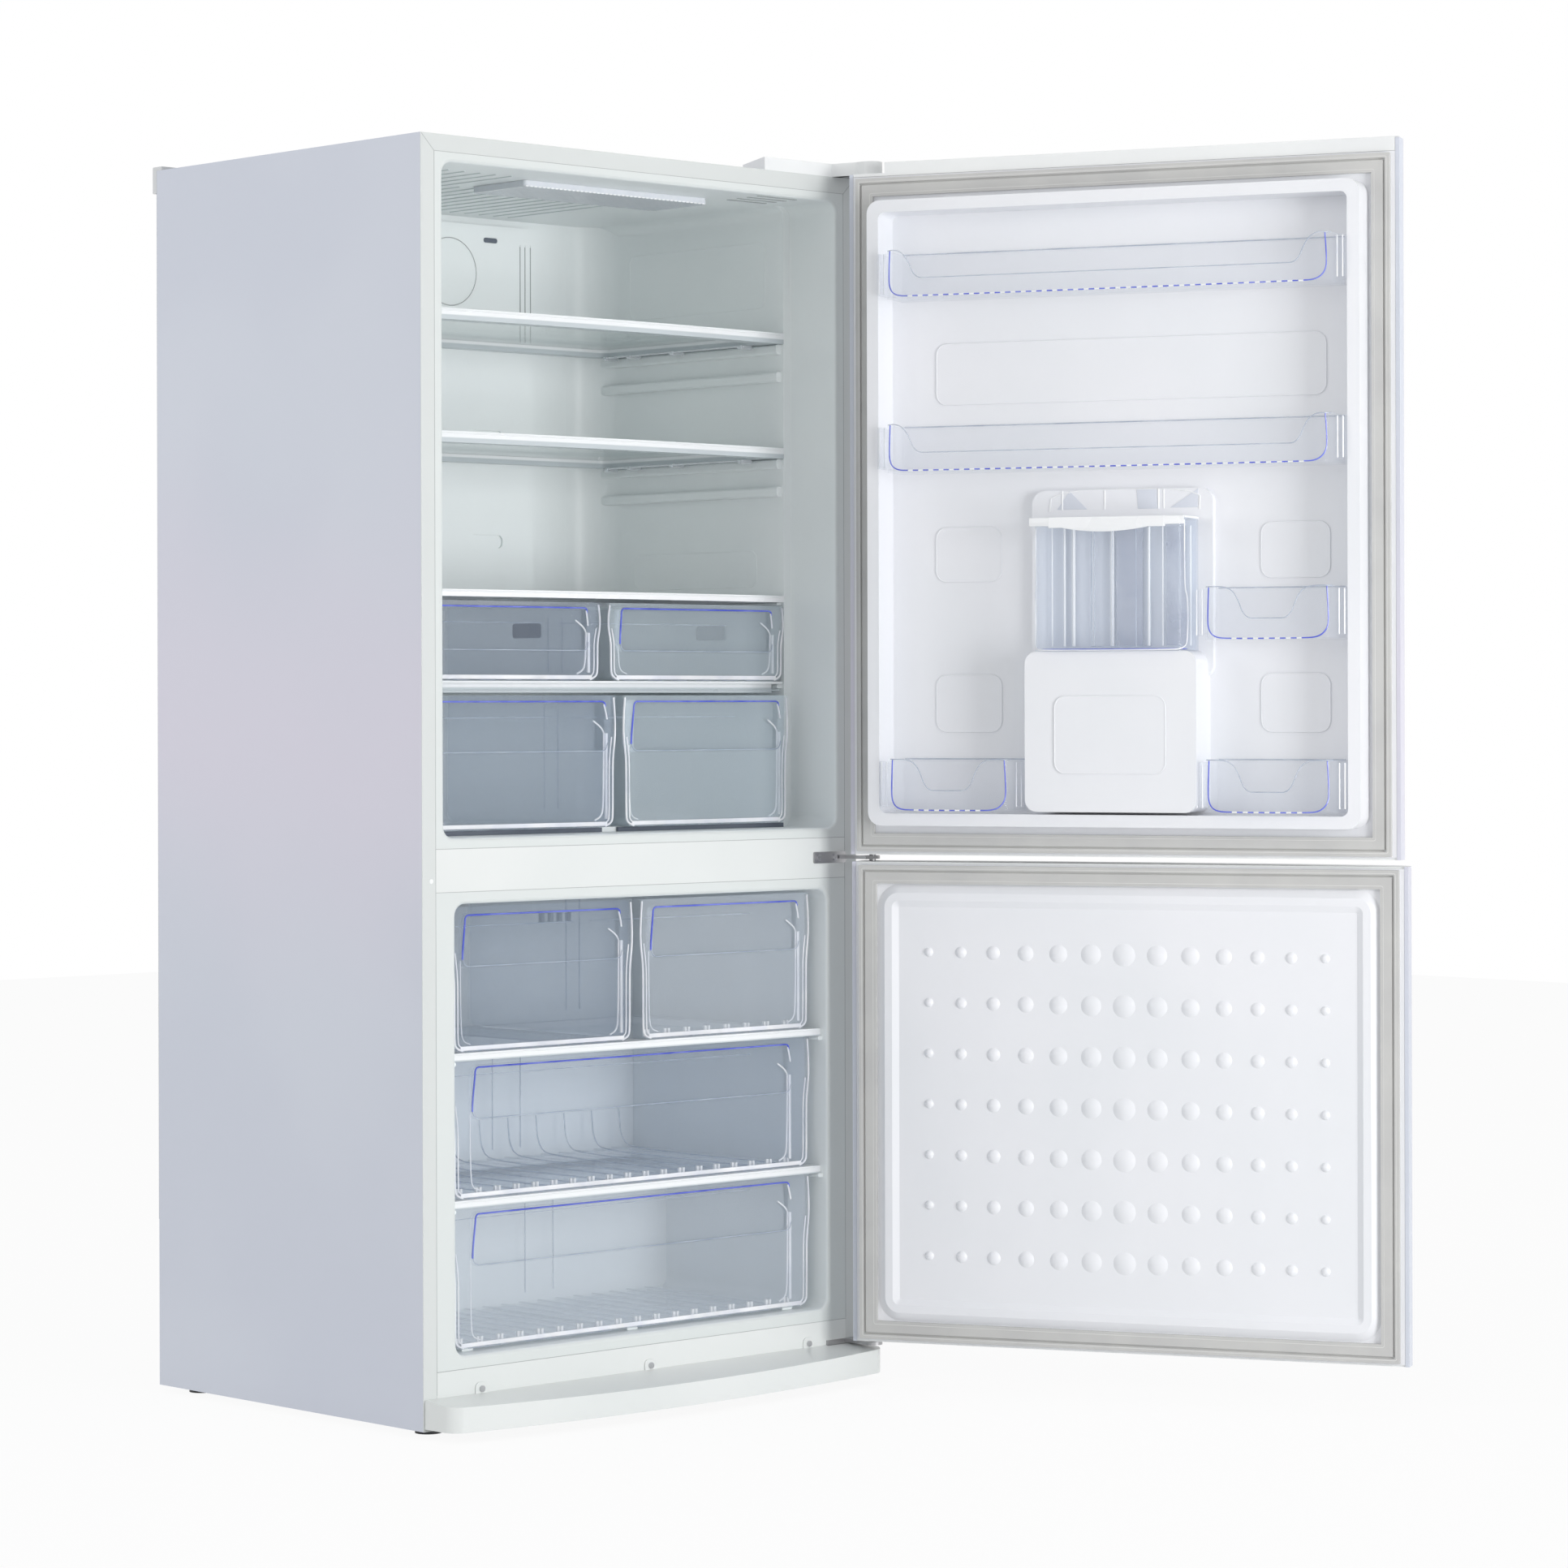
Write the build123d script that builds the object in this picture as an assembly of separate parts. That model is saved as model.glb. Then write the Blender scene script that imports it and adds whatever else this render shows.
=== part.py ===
from build123d import *

import os
from math import atan2, cos, degrees, radians, sin

# A bottom freezer refrigerator with two full-width compartments, standing with both doors open.
# Millimetres, +Z up. The origin lies on the floor midway between the four feet. The front faces -Y
# and both doors hang on the +X side. Each door is shaped closed and then turned about the hinge axis.

# ---------------------------------------------------------------- cabinet
cabinet_width = 840.0
cabinet_depth = 620.0
panel_height = 1798.0
foot_height = 10.0
sheet = 0.8
flange_width = 24.0
rear_flange_width = 12.0
liner_wall = 2.0
seat_gap = 0.3
running_clearance = 0.05

# Heights of the bands of the front, from the bottom edge of the side panels upwards
rail_height = 80.0
freezer_sill = 18.0
freezer_height = 630.0
freezer_lintel = 17.0
mullion_height = 60.0
fridge_sill = 15.0
fridge_lintel = 13.0

# Insulated walls and the two cabins
fridge_mouth_wall = 40.0
fridge_mouth_depth = 100.0
fridge_wall = 54.0
fridge_cabin_depth = 535.0
freezer_wall = 60.0
freezer_cabin_depth = 520.0
mouth_corner_radius = 18.0
fridge_rear_radius = 60.0
freezer_rear_radius = 24.0
mouth_flare = 6.0

# Machine room at the lower rear
machine_depth = 215.0
machine_height = 245.0
machine_insulation = 42.0
pan_sheet = 1.2

# Feet
foot_radius = 19.0
foot_pad_height = 9.7
foot_inset_x = 45.0
foot_inset_y = 45.0
foot_stem_radius = 5.0
foot_stem_height = 26.0

# ---------------------------------------------------------------- doors
door_gap = 8.0
door_thickness = 62.0
door_bow = 30.0
hinge_inset = 17.0
hinge_forward = 53.0
hinge_pin_radius = 5.0
hinge_pin_length = 20.0
hinge_arm_thickness = 5.0
hinge_side_radius = 14.0
free_side_radius = 45.0
fridge_door_angle = 114.0
freezer_door_angle = 116.5
door_split = 10.7
fridge_door_rise = 13.0
fridge_door_overlap = 23.5
freezer_door_drop = 23.7
cap_height = 20.0
hinge_notch_width = 56.0
hinge_notch_depth = 16.0
gasket_inset = 12.5
gasket_width = 27.0
gasket_thickness = 7.4
dyke_outer_inset = 46.0
dyke_width = 18.0
dyke_depth = 40.0
door_floor_depth = 20.0
plug_gap = 6.0
plug_radius = 20.0

# Things on the door
balcony_wall = 2.2
balcony_height = 70.0
balcony_front = 64.0
small_balcony_height = 76.0
small_balcony_front = 58.0
balcony_end = 16.0
long_dip_margin = 30.0
small_dip_margin = 44.0
dip_lean = 22.0
dip_corner = 10.0
dip_share = 0.6
upper_balcony_lift = 782.0
lower_balcony_lift = 526.0
small_balcony_lift = 28.0
middle_balcony_lift = 276.0
column_centre = 425.0
column_width = 260.0
column_front = 50.0
column_height = 263.0
tank_width = 232.0
tank_height = 190.0
tank_front = 60.0
tank_wall = 2.5
lid_thickness = 3.0
lid_hinge_gap = 3.5
spout_radius = 7.0
spout_v = 4.0
niche_width = 200.0
niche_end_v = 34.0
niche_wall = 2.0
niche_border = 7.0
niche_margin = 8.0
niche_top_margin = 16.0
lever_width = 36.0
lever_length = 76.0
lever_pin_radius = 2.5

# Domes on the inside of the freezer door
dome_columns = 13
dome_rows = 7
dome_pitch_x = 49.9
dome_pitch_z = 75.0
dome_small_radius = 7.0
dome_large_radius = 17.0
dome_height = 4.0
freezer_plug_height = 7.5
freezer_plug_slope = 12.5
freezer_panel_border = 11.5
freezer_panel_recess = 5.0
freezer_panel_slope = 9.5
seal_end_inset = 5.0

# ---------------------------------------------------------------- shelves and drawers
shelf_thickness = 16.0
shelf_side_gap = 2.0
shelf_front = 97.0
shelf_bow = 15.0
shelf_back = 505.0
shelf_corner_inset = 20.0
glass_thickness = 4.0
upper_shelf_height = 748.0
lower_shelf_height = 574.0
crisper_cover_height = 350.0
crisper_cover_thickness = 10.0
divider_height = 220.0
divider_thickness = 17.0
rib_depth = 10.0
rib_height = 15.0
rib_step = 42.0
rod_radius = 1.6

drawer_wall = 2.5
drawer_corner = 15.0
drawer_rim = 4.0
drawer_rim_height = 5.0
drawer_gap = 14.0
grip_depth = 9.0
grip_corner = 10.0
upper_crisper_front = 99.0
lower_crisper_front = 76.0
crisper_bow = 12.0
lower_crisper_side_gap = 16.0
crisper_drawer_back = 480.0
crisper_runner = 7.0
freezer_drawer_front = 28.0
freezer_drawer_side_gap = 13.0
freezer_drawer_back = 428.0
bottom_drawer_back = 352.0
freezer_runner = 4.0
lower_basket_height = 197.0
middle_basket_height = 193.0
upper_basket_height = 204.0
crossbar_thickness = 11.0
floor_rib_pitch = 36.0

# ---------------------------------------------------------------- derived planes
left = -cabinet_width / 2
right = cabinet_width / 2
front = -cabinet_depth / 2
back = cabinet_depth / 2
bottom = foot_height
top = bottom + panel_height

freezer_seam_z = bottom + rail_height
freezer_floor_z = freezer_seam_z + freezer_sill
freezer_ceiling_z = freezer_floor_z + freezer_height
mullion_low_z = freezer_ceiling_z + freezer_lintel
mullion_top_z = mullion_low_z + mullion_height
fridge_floor_z = mullion_top_z + fridge_sill
fridge_ceiling_z = top - flange_width - fridge_lintel

machine_front_y = back - machine_depth
machine_top_z = bottom + machine_height
inside_left = left + sheet + seat_gap
inside_right = right - sheet - seat_gap
inside_back = back - 2 * sheet - seat_gap

hinge_x = right - hinge_inset
hinge_y = front - hinge_forward
door_back_y = front - door_gap
door_front_y = door_back_y - door_thickness
fridge_door_low = mullion_top_z - fridge_door_overlap
fridge_door_high = top + fridge_door_rise
freezer_door_high = fridge_door_low - door_split
freezer_door_low = freezer_seam_z - freezer_door_drop
door_face_v = -door_gap - door_thickness - door_bow
notch_z = fridge_door_high - hinge_notch_depth

fridge_rear_y = front + fridge_cabin_depth
freezer_rear_y = front + freezer_cabin_depth
fridge_side = cabinet_width / 2 - fridge_wall
freezer_side = cabinet_width / 2 - freezer_wall


# ---------------------------------------------------------------- shape helpers
def block(x0, x1, y0, y1, z0, z1):
    """Plain box between two opposite corners."""
    return Pos((x0 + x1) / 2, (y0 + y1) / 2, (z0 + z1) / 2) * Box(x1 - x0, y1 - y0, z1 - z0)


def bar_x(x0, x1, y0, y1, z0, z1, radius):
    """Box with its four edges along X rounded."""
    plane = Plane(origin=(x0, (y0 + y1) / 2, (z0 + z1) / 2), x_dir=(0, 1, 0), z_dir=(1, 0, 0))
    return extrude(plane * RectangleRounded(y1 - y0, z1 - z0, radius), amount=x1 - x0)


def bar_y(x0, x1, y0, y1, z0, z1, radius):
    """Box with its four edges along Y rounded."""
    plane = Plane(origin=((x0 + x1) / 2, y0, (z0 + z1) / 2), x_dir=(1, 0, 0), z_dir=(0, 1, 0))
    return extrude(plane * RectangleRounded(x1 - x0, z1 - z0, radius), amount=y1 - y0)


def bar_z(x0, x1, y0, y1, z0, z1, radius):
    """Box with its four upright edges rounded."""
    plane = Plane(origin=((x0 + x1) / 2, (y0 + y1) / 2, z0))
    return extrude(plane * RectangleRounded(x1 - x0, y1 - y0, radius), amount=z1 - z0)


def rod_x(x0, x1, y, z, radius):
    """Round rod along X."""
    return Pos((x0 + x1) / 2, y, z) * Rot(0, 90, 0) * Cylinder(radius, x1 - x0)


def rod_y(x, y0, y1, z, radius):
    """Round rod along Y."""
    return Pos(x, (y0 + y1) / 2, z) * Rot(90, 0, 0) * Cylinder(radius, y1 - y0)


def rod_z(x, y, z0, z1, radius):
    """Upright round rod."""
    return Pos(x, y, (z0 + z1) / 2) * Cylinder(radius, z1 - z0)


def bowed_slab(x0, x1, y_end, y_middle, y_back, z0, z1):
    """Slab whose front edge is an arc through its two ends and its middle, or straight."""
    if abs(y_end - y_middle) < 0.01:
        return block(x0, x1, y_end, y_back, z0, z1)
    curve = ThreePointArc((x0, y_end), ((x0 + x1) / 2, y_middle), (x1, y_end))
    sides = Polyline((x1, y_end), (x1, y_back), (x0, y_back), (x0, y_end))
    face = make_face(curve.edges() + sides.edges())
    return extrude(Pos(0, 0, z0) * face, amount=z1 - z0, dir=(0, 0, 1))


def joined(shapes):
    """One shape made of all the given ones."""
    first, *rest = shapes
    return first.fuse(*rest) if rest else first


def opened(shape, angle):
    """The shape turned about the hinge axis from its closed place."""
    return Pos(hinge_x, hinge_y, 0) * Rot(0, 0, angle) * Pos(-hinge_x, -hinge_y, 0) * shape


# ---------------------------------------------------------------- fasteners
kick_screw_x = (-317.0, 0.0, 317.0)
kick_tab_z = freezer_seam_z - 30.0
plate_left_x = hinge_x - 73.0
plate_right_x = hinge_x - 19.0
plate_low_z = freezer_door_high - 3.8
plate_high_z = fridge_door_low + 2.5
plate_screw_x = (plate_left_x + 8.5, plate_right_x - 12.0)
top_plate_screws = ((hinge_x - 60.0, front + 35.0), (hinge_x - 20.0, front + 75.0))
screw_head_radius = 4.5
screw_head_height = 2.4
screw_shank_radius = 2.0
screw_shank_length = 9.0
kick_tab_thickness = 2.0
plinth_lift = 4.0
plinth_height = 44.0
plinth_fall = 7.0
plinth_setback = 8.0
plinth_corner = 25.0
plinth_wall = 2.5
hinge_plate_thickness = 3.0


def screw_along_y(x, y, z, clearance=0.0):
    """Pan-head screw driven rearwards, with its head resting on the plane at y."""
    shank = rod_y(x, y, y + screw_shank_length + clearance, z, screw_shank_radius + clearance)
    if clearance:
        return shank
    return shank + rod_y(x, y - screw_head_height, y, z, screw_head_radius)


def screw_down(x, y, z, clearance=0.0):
    """Pan-head screw driven downwards, with its head resting on the plane at z."""
    shank = rod_z(x, y, z - screw_shank_length - clearance, z, screw_shank_radius + clearance)
    if clearance:
        return shank
    return shank + rod_z(x, y, z, z + screw_head_height, screw_head_radius)


def all_screws(clearance=0.0):
    """Every case screw, or the holes that clear their shanks."""
    kick = [screw_along_y(x, front - kick_tab_thickness, kick_tab_z, clearance) for x in kick_screw_x]
    plate_z = (plate_low_z + plate_high_z) / 2
    plate = [
        screw_along_y(x, front - hinge_plate_thickness, plate_z, clearance) for x in plate_screw_x
    ]
    over = [screw_down(x, y, top + hinge_plate_thickness, clearance) for x, y in top_plate_screws]
    return joined(kick + plate + over)


# ---------------------------------------------------------------- cabinet pieces
def cabinet_shell():
    """Folded steel wrap: both sides, the top, the front flanges and the narrow rear flanges."""
    outside = block(left, right, front, back - sheet, bottom, top)
    inside = block(
        left + sheet, right - sheet, front + sheet, back - 2 * sheet, bottom - 1, top - sheet
    )
    mouth = block(
        left + flange_width, right - flange_width, front - 1, front + 1, bottom - 1, top - flange_width
    )
    rear = block(
        left + rear_flange_width,
        right - rear_flange_width,
        back - 3 * sheet,
        back,
        bottom - 1,
        top - rear_flange_width,
    )
    return outside - inside - mouth - rear - all_screws(clearance=0.3)


def back_panel():
    """Flat steel back above the machine room."""
    return block(left, right, back - sheet, back, machine_top_z + seat_gap, top)


def base_pan():
    """Folded steel floor of the cabinet, with the step over the machine room."""
    floor = block(
        inside_left, inside_right, front + 15, machine_front_y + pan_sheet, bottom, bottom + pan_sheet
    )
    step = block(
        inside_left, inside_right, machine_front_y, machine_front_y + pan_sheet, bottom, machine_top_z
    )
    roof = block(
        inside_left,
        inside_right,
        machine_front_y,
        inside_back,
        machine_top_z - pan_sheet,
        machine_top_z,
    )
    return floor + step + roof - foot_stems(clearance=0.5)


def compressor_tray():
    """Steel tray that closes the bottom of the machine room and carries the compressor."""
    tray = block(
        inside_left,
        inside_right,
        machine_front_y + pan_sheet + seat_gap,
        inside_back,
        bottom,
        bottom + 2 * sheet,
    )
    return tray - foot_stems(clearance=0.5)


def foot_centres():
    """Centres of the four feet on the floor, seen from above."""
    x = cabinet_width / 2 - foot_inset_x
    y = cabinet_depth / 2 - foot_inset_y
    return [(sx * x, sy * y) for sx in (-1, 1) for sy in (-1, 1)]


def foot_stems(clearance=0.0):
    """Threaded stems of the feet, or the holes that clear them."""
    radius = foot_stem_radius + clearance
    high = foot_pad_height + foot_stem_height + clearance
    return joined([rod_z(x, y, foot_pad_height, high, radius) for x, y in foot_centres()])


def levelling_feet():
    """Four round feet on threaded stems."""
    pads = joined([rod_z(x, y, 0, foot_pad_height, foot_radius) for x, y in foot_centres()])
    return pads + foot_stems()


def flare(x0, x1, z0, z1, radius, grow):
    """Rounded lead-in round an opening in the front plane, in ruled steps of a quarter circle."""
    steps = 4
    rings = []
    for i in range(steps + 1):
        turn = radians(90.0 * i / steps)
        spread = mouth_flare * (1 - sin(turn)) + grow
        depth = mouth_flare * (1 - cos(turn))
        plane = Plane(
            origin=((x0 + x1) / 2, front + depth, (z0 + z1) / 2), x_dir=(1, 0, 0), z_dir=(0, 1, 0)
        )
        rings.append(
            plane * RectangleRounded(x1 - x0 + 2 * spread, z1 - z0 + 2 * spread, radius + spread)
        )
    return joined([loft([a, b], ruled=True) for a, b in zip(rings, rings[1:])])


def fridge_cavity(grow=0.0):
    """Room of the fridge cabin, or with its walls moved outwards by grow."""
    low, high = fridge_floor_z, fridge_ceiling_z
    mouth_half = cabinet_width / 2 - fridge_mouth_wall
    ahead = front - fridge_cabin_depth
    mouth = bar_y(
        -mouth_half - grow,
        mouth_half + grow,
        front - 5,
        front + fridge_mouth_depth + grow,
        low - grow,
        high + grow,
        mouth_corner_radius + grow,
    )
    half, rear = fridge_side + grow, fridge_rear_y + grow
    main = bar_y(-half, half, front - 5, rear, low - grow, high + grow, mouth_corner_radius + grow)
    plan = bar_z(-half, half, ahead, rear, low - 9, high + 9, fridge_rear_radius + grow)
    return mouth + (main & plan) + flare(-mouth_half, mouth_half, low, high, mouth_corner_radius, grow)


def freezer_cavity(grow=0.0):
    """Room of the freezer cabin over the step of the machine room."""
    low, high = freezer_floor_z, freezer_ceiling_z
    half, rear = freezer_side + grow, freezer_rear_y + grow
    ahead = front - freezer_cabin_depth
    main = bar_y(-half, half, front - 5, rear, low - grow, high + grow, mouth_corner_radius + grow)
    plan = bar_z(-half, half, ahead, rear, low - 9, high + 9, freezer_rear_radius + grow)
    hump_y = machine_front_y - machine_insulation + grow
    hump_z = machine_top_z + machine_insulation - grow
    hump = bar_x(-half - 1, half + 1, hump_y, back + 60, low - 60, hump_z, mouth_corner_radius)
    room = (main & plan) - hump
    return room + flare(-freezer_side, freezer_side, low, high, mouth_corner_radius, grow)


def front_rim(z0, z1):
    """Flat frame of a liner between the cabinet flanges."""
    half = cabinet_width / 2 - flange_width - seat_gap
    return block(-half, half, front, front + liner_wall, z0, z1)


def side_ribs(y0, y1, z0, z1, half, depth):
    """A pair of ledges on the two side walls of a cabin."""
    right_rib = bar_y(half - depth, half + 8, y0, y1, z0, z1, min(4.0, (z1 - z0) / 2 - 0.1))
    return right_rib + mirror(right_rib, Plane.YZ)


def shelf_underside(height):
    """Height of the underside of a glass shelf whose top is at the given height over the floor."""
    return fridge_floor_z + height - shelf_thickness


def crisper_cover_low():
    """Underside of the cover over the upper crisper drawers."""
    return fridge_floor_z + crisper_cover_height - crisper_cover_thickness


def divider_top():
    """Top face of the frame between the two rows of crisper drawers."""
    return fridge_floor_z + divider_height


def fridge_ledges():
    """All the ledges that carry the glass shelves, the crisper cover and the divider."""
    y0, y1 = front + fridge_mouth_depth + 5, front + shelf_back + 5
    ledges = []
    for height in (upper_shelf_height, lower_shelf_height):
        for drop in (0.0, rib_step):
            ledge_top = shelf_underside(height) - seat_gap - drop
            ledges.append(side_ribs(y0, y1, ledge_top - rib_height, ledge_top, fridge_side, rib_depth))
    cover_ledge = crisper_cover_low() - seat_gap
    ledges.append(side_ribs(y0, y1, cover_ledge - 4, cover_ledge, fridge_side, rib_depth))
    divider_ledge = divider_top() - 4 - seat_gap
    ledges.append(side_ribs(y0, y1, divider_ledge - 6, divider_ledge, fridge_side, rib_depth))
    return joined(ledges)


def crisper_runners():
    """Low rails on the fridge floor under the lower crisper drawers."""
    y0, y1 = front + lower_crisper_front + 14, front + crisper_drawer_back
    outer = fridge_side - 60
    strips = [(-outer - 20, -outer), (-drawer_gap - 16, drawer_gap + 16), (outer, outer + 20)]
    z0, z1 = fridge_floor_z - 1, fridge_floor_z + crisper_runner
    return joined([block(x0, x1, y0, y1, z0, z1) for x0, x1 in strips])


def fridge_liner():
    """Thermoformed lining of the fridge cabin with its front rim, ledges and runners."""
    rim = front_rim(mullion_top_z + seat_gap, top - flange_width - seat_gap)
    skin = fridge_cavity(liner_wall) & block(left, right, front, back, bottom, top)
    ledges = (fridge_ledges() + crisper_runners()) & fridge_cavity(liner_wall / 2)
    return skin + rim - fridge_cavity() + ledges - all_screws(clearance=0.3)


def freezer_runners():
    """Low rails on the freezer floor under the bottom drawer."""
    y0, y1 = front + freezer_drawer_front + 10, front + bottom_drawer_back - 10
    outer = freezer_side - 60
    z0, z1 = freezer_floor_z - 1, freezer_floor_z + freezer_runner
    return joined([block(x, x + 20, y0, y1, z0, z1) for x in (-outer - 20, -10, outer)])


def crossbar_top(row):
    """Top face of the lower (0) or upper (1) crossbar of the freezer."""
    first = freezer_floor_z + freezer_runner + lower_basket_height + 2 * seat_gap + 1.5
    step = middle_basket_height + 2 * seat_gap + 1.5
    return first + crossbar_thickness + row * (step + crossbar_thickness)


def freezer_ledges():
    """Ledges on the freezer side walls under the two crossbar frames."""
    y0, y1 = front + 12, front + freezer_drawer_back
    ledges = []
    for row in (0, 1):
        high = crossbar_top(row) - crossbar_thickness - seat_gap
        ledges.append(side_ribs(y0, y1, high - 6, high, freezer_side, freezer_drawer_side_gap - 4))
    return joined(ledges)


def freezer_liner():
    """Thermoformed lining of the freezer cabin with its front rim, ledges and runners."""
    rim = front_rim(freezer_seam_z + seat_gap, mullion_low_z - seat_gap)
    skin = freezer_cavity(liner_wall) & block(left, right, front, back, bottom, top)
    ledges = (freezer_ledges() + freezer_runners()) & freezer_cavity(liner_wall / 2)
    return skin + rim - freezer_cavity() + ledges


def mullion_cover(clearance=0.0):
    """Steel channel across the front between the two cabins."""
    half = cabinet_width / 2 - flange_width - seat_gap + clearance
    low, high = mullion_low_z - clearance, mullion_top_z + clearance
    channel = block(-half, half, front, front + 12 + clearance, low, high)
    if clearance:
        return channel
    hollow = block(-half - 1, half + 1, front + liner_wall, front + 13, low + sheet, high - sheet)
    return channel - hollow - all_screws(clearance=0.3)


def front_rail():
    """Painted steel strip under the freezer, folded back along its lower edge."""
    half = cabinet_width / 2 - flange_width - seat_gap
    low = bottom + 3
    web = block(-half, half, front, front + pan_sheet, low, freezer_seam_z - seat_gap)
    lip = block(-half, half, front, front + 14, low, low + pan_sheet)
    return web + lip - all_screws(clearance=0.3)


def cabinet_insulation():
    """Foam that fills the walls between the steel shell and the two liners."""
    clear = liner_wall + seat_gap
    core = block(
        inside_left,
        inside_right,
        front + clear,
        inside_back,
        bottom + pan_sheet + seat_gap,
        top - sheet - seat_gap,
    )
    machine_room = block(
        left, right, machine_front_y - seat_gap, back + 1, bottom - 1, machine_top_z + seat_gap
    )
    rail_space = block(left, right, front, front + 16.5, bottom, bottom + 6)
    foam = core - machine_room - rail_space - mullion_cover(clearance=seat_gap)
    foam = foam - fridge_cavity(clear) - freezer_cavity(clear)
    return foam - foot_stems(clearance=1.0) - all_screws(clearance=0.5)


def kick_plate():
    """Curved plastic plinth in front of the base, held by three screwed tabs."""
    end_y, middle_y = door_front_y + plinth_setback, door_front_y - door_bow
    low, high = bottom + plinth_lift, bottom + plinth_height
    wall = plinth_wall
    solid = bowed_slab(left + 2, right - 2, end_y, middle_y, front - seat_gap, low, high)
    edges = solid.edges().filter_by(Axis.Z).group_by(Axis.Y)[0]
    solid = fillet(edges, plinth_corner)
    room = bowed_slab(
        left + 2 + wall,
        right - 2 - wall,
        end_y + wall,
        middle_y + wall,
        front + 1,
        low - 1,
        high,
    )
    room_edges = room.edges().filter_by(Axis.Z).group_by(Axis.Y)[0]
    room = fillet(room_edges, plinth_corner - wall)
    tilt = degrees(atan2(plinth_fall, front - middle_y))
    solid = solid - plinth_slope(high, tilt)
    room = room - plinth_slope(high - wall, tilt)
    tabs = []
    for x in kick_screw_x:
        tabs.append(
            bar_y(
                x - 11,
                x + 11,
                front - kick_tab_thickness,
                front - seat_gap / 3,
                high - 9,
                kick_tab_z + 9,
                7,
            )
        )
    bracket_slot = block(hinge_x - 50, right, front - 6, front + 1, low - 1, high + 1)
    return solid - room + joined(tabs) - all_screws(clearance=0.3) - bracket_slot


def plinth_slope(height, tilt):
    """All that lies above the plinth's top, which falls forward from height at the cabinet front."""
    above = block(left - 5, right + 5, -300, 10, 0, 60)
    return Pos(0, front, height) * Rot(tilt, 0, 0) * above


def rear_top_trim():
    """Plastic cap along the rear top edge of the cabinet."""
    low, high = top - 34.0, top + 5.5
    rear = bar_x(left, right, back + seat_gap / 3, back + 9.5, low, high, 2.0)
    lip = block(left, right, back - 13, back + 4, top + seat_gap / 3, high)
    return rear + lip


# ---------------------------------------------------------------- hinges
def hinge_pin(z0, z1):
    """Upright pin on the door axis."""
    return rod_z(hinge_x, hinge_y, z0, z1, hinge_pin_radius)


def top_hinge_bracket():
    """Steel plate on the cabinet top whose arm carries the upper pin."""
    z0, z1 = top, top + hinge_plate_thickness
    plate = block(hinge_x - 80, hinge_x + 10, front + 10, front + 95, z0, z1)
    arm = block(hinge_x - 13, hinge_x + 13, hinge_y, front + 60, z0, z1)
    nose = rod_z(hinge_x, hinge_y, z0, z1, 13)
    return plate + arm + nose + hinge_pin(z0 - hinge_pin_length, z1) - all_screws(clearance=0.3)


def middle_hinge_bracket():
    """Steel plate on the mullion with a bent arm and a pin for each door."""
    plate_y = front - hinge_plate_thickness
    plate = bar_y(
        plate_left_x, plate_right_x + 12, plate_y, front - seat_gap / 3, plate_low_z, plate_high_z, 2.5
    )
    arm_z = (fridge_door_low + freezer_door_high) / 2
    z0, z1 = arm_z - hinge_arm_thickness / 2, arm_z + hinge_arm_thickness / 2
    root = block(plate_right_x - 6, plate_right_x + 12, hinge_y, front - seat_gap / 3, z0, z1)
    arm = block(plate_right_x - 6, hinge_x, hinge_y - 11, hinge_y + 11, z0, z1)
    nose = rod_z(hinge_x, hinge_y, z0, z1, 11)
    pins = hinge_pin(z0 - hinge_pin_length + 6, z1 + hinge_pin_length - 6)
    return plate + root + arm + nose + pins - all_screws(clearance=0.3)


def bottom_hinge_bracket():
    """Steel bracket on the front rail with the lower pin of the freezer door."""
    z1 = freezer_door_low - 5.5
    z0 = z1 - hinge_arm_thickness
    web = block(hinge_x - 48, hinge_x + 14, front - 3, front - seat_gap / 3, bottom + 12, z1)
    arm = block(hinge_x - 13, hinge_x + 13, hinge_y, front - seat_gap / 3, z0, z1)
    nose = rod_z(hinge_x, hinge_y, z0, z1, 13)
    return web + arm + nose + hinge_pin(z0, z1 + hinge_pin_length)


def top_hinge_cover():
    """Plastic cover over the upper hinge and the wiring beside it."""
    z0, z1 = top + seat_gap / 3, top + 19.5
    wall = 1.6
    nose_radius = 17.0
    outline = Polyline(
        (hinge_x - 168, front + 1),
        (hinge_x - 30, front + 1),
        (hinge_x - nose_radius, hinge_y + 14),
        (hinge_x - nose_radius, hinge_y),
        (hinge_x + nose_radius, hinge_y),
        (hinge_x + nose_radius, front + 100),
        (hinge_x - 120, front + 100),
        close=True,
    )
    body = extrude(Pos(0, 0, z0) * make_face(outline.edges()), amount=z1 - z0, dir=(0, 0, 1))
    body = body + rod_z(hinge_x, hinge_y, z0, z1, nose_radius)
    inner = Polyline(
        (hinge_x - 160, front + 1 + wall),
        (hinge_x - 29, front + 1 + wall),
        (hinge_x - nose_radius + wall, hinge_y + 14),
        (hinge_x - nose_radius + wall, hinge_y),
        (hinge_x + nose_radius - wall, hinge_y),
        (hinge_x + nose_radius - wall, front + 100 - wall),
        (hinge_x - 119, front + 100 - wall),
        close=True,
    )
    room = extrude(Pos(0, 0, z0 - 1) * make_face(inner.edges()), amount=z1 - wall - z0 + 1, dir=(0, 0, 1))
    return body - room - rod_z(hinge_x, hinge_y, z0 - 1, z1 - wall, nose_radius - wall)


# ---------------------------------------------------------------- inside the fridge cabin
def cabin_lamp():
    """Flat ribbed lamp lens under the fridge ceiling."""
    z1 = fridge_ceiling_z - seat_gap
    lens = bar_z(-150, 205, front + 95, front + 215, z1 - 9, z1, 6)
    grooves = [block(x, x + 2, front + 94, front + 216, z1 - 10, z1 - 8) for x in range(-140, 200, 8)]
    return lens - joined(grooves)


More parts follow.
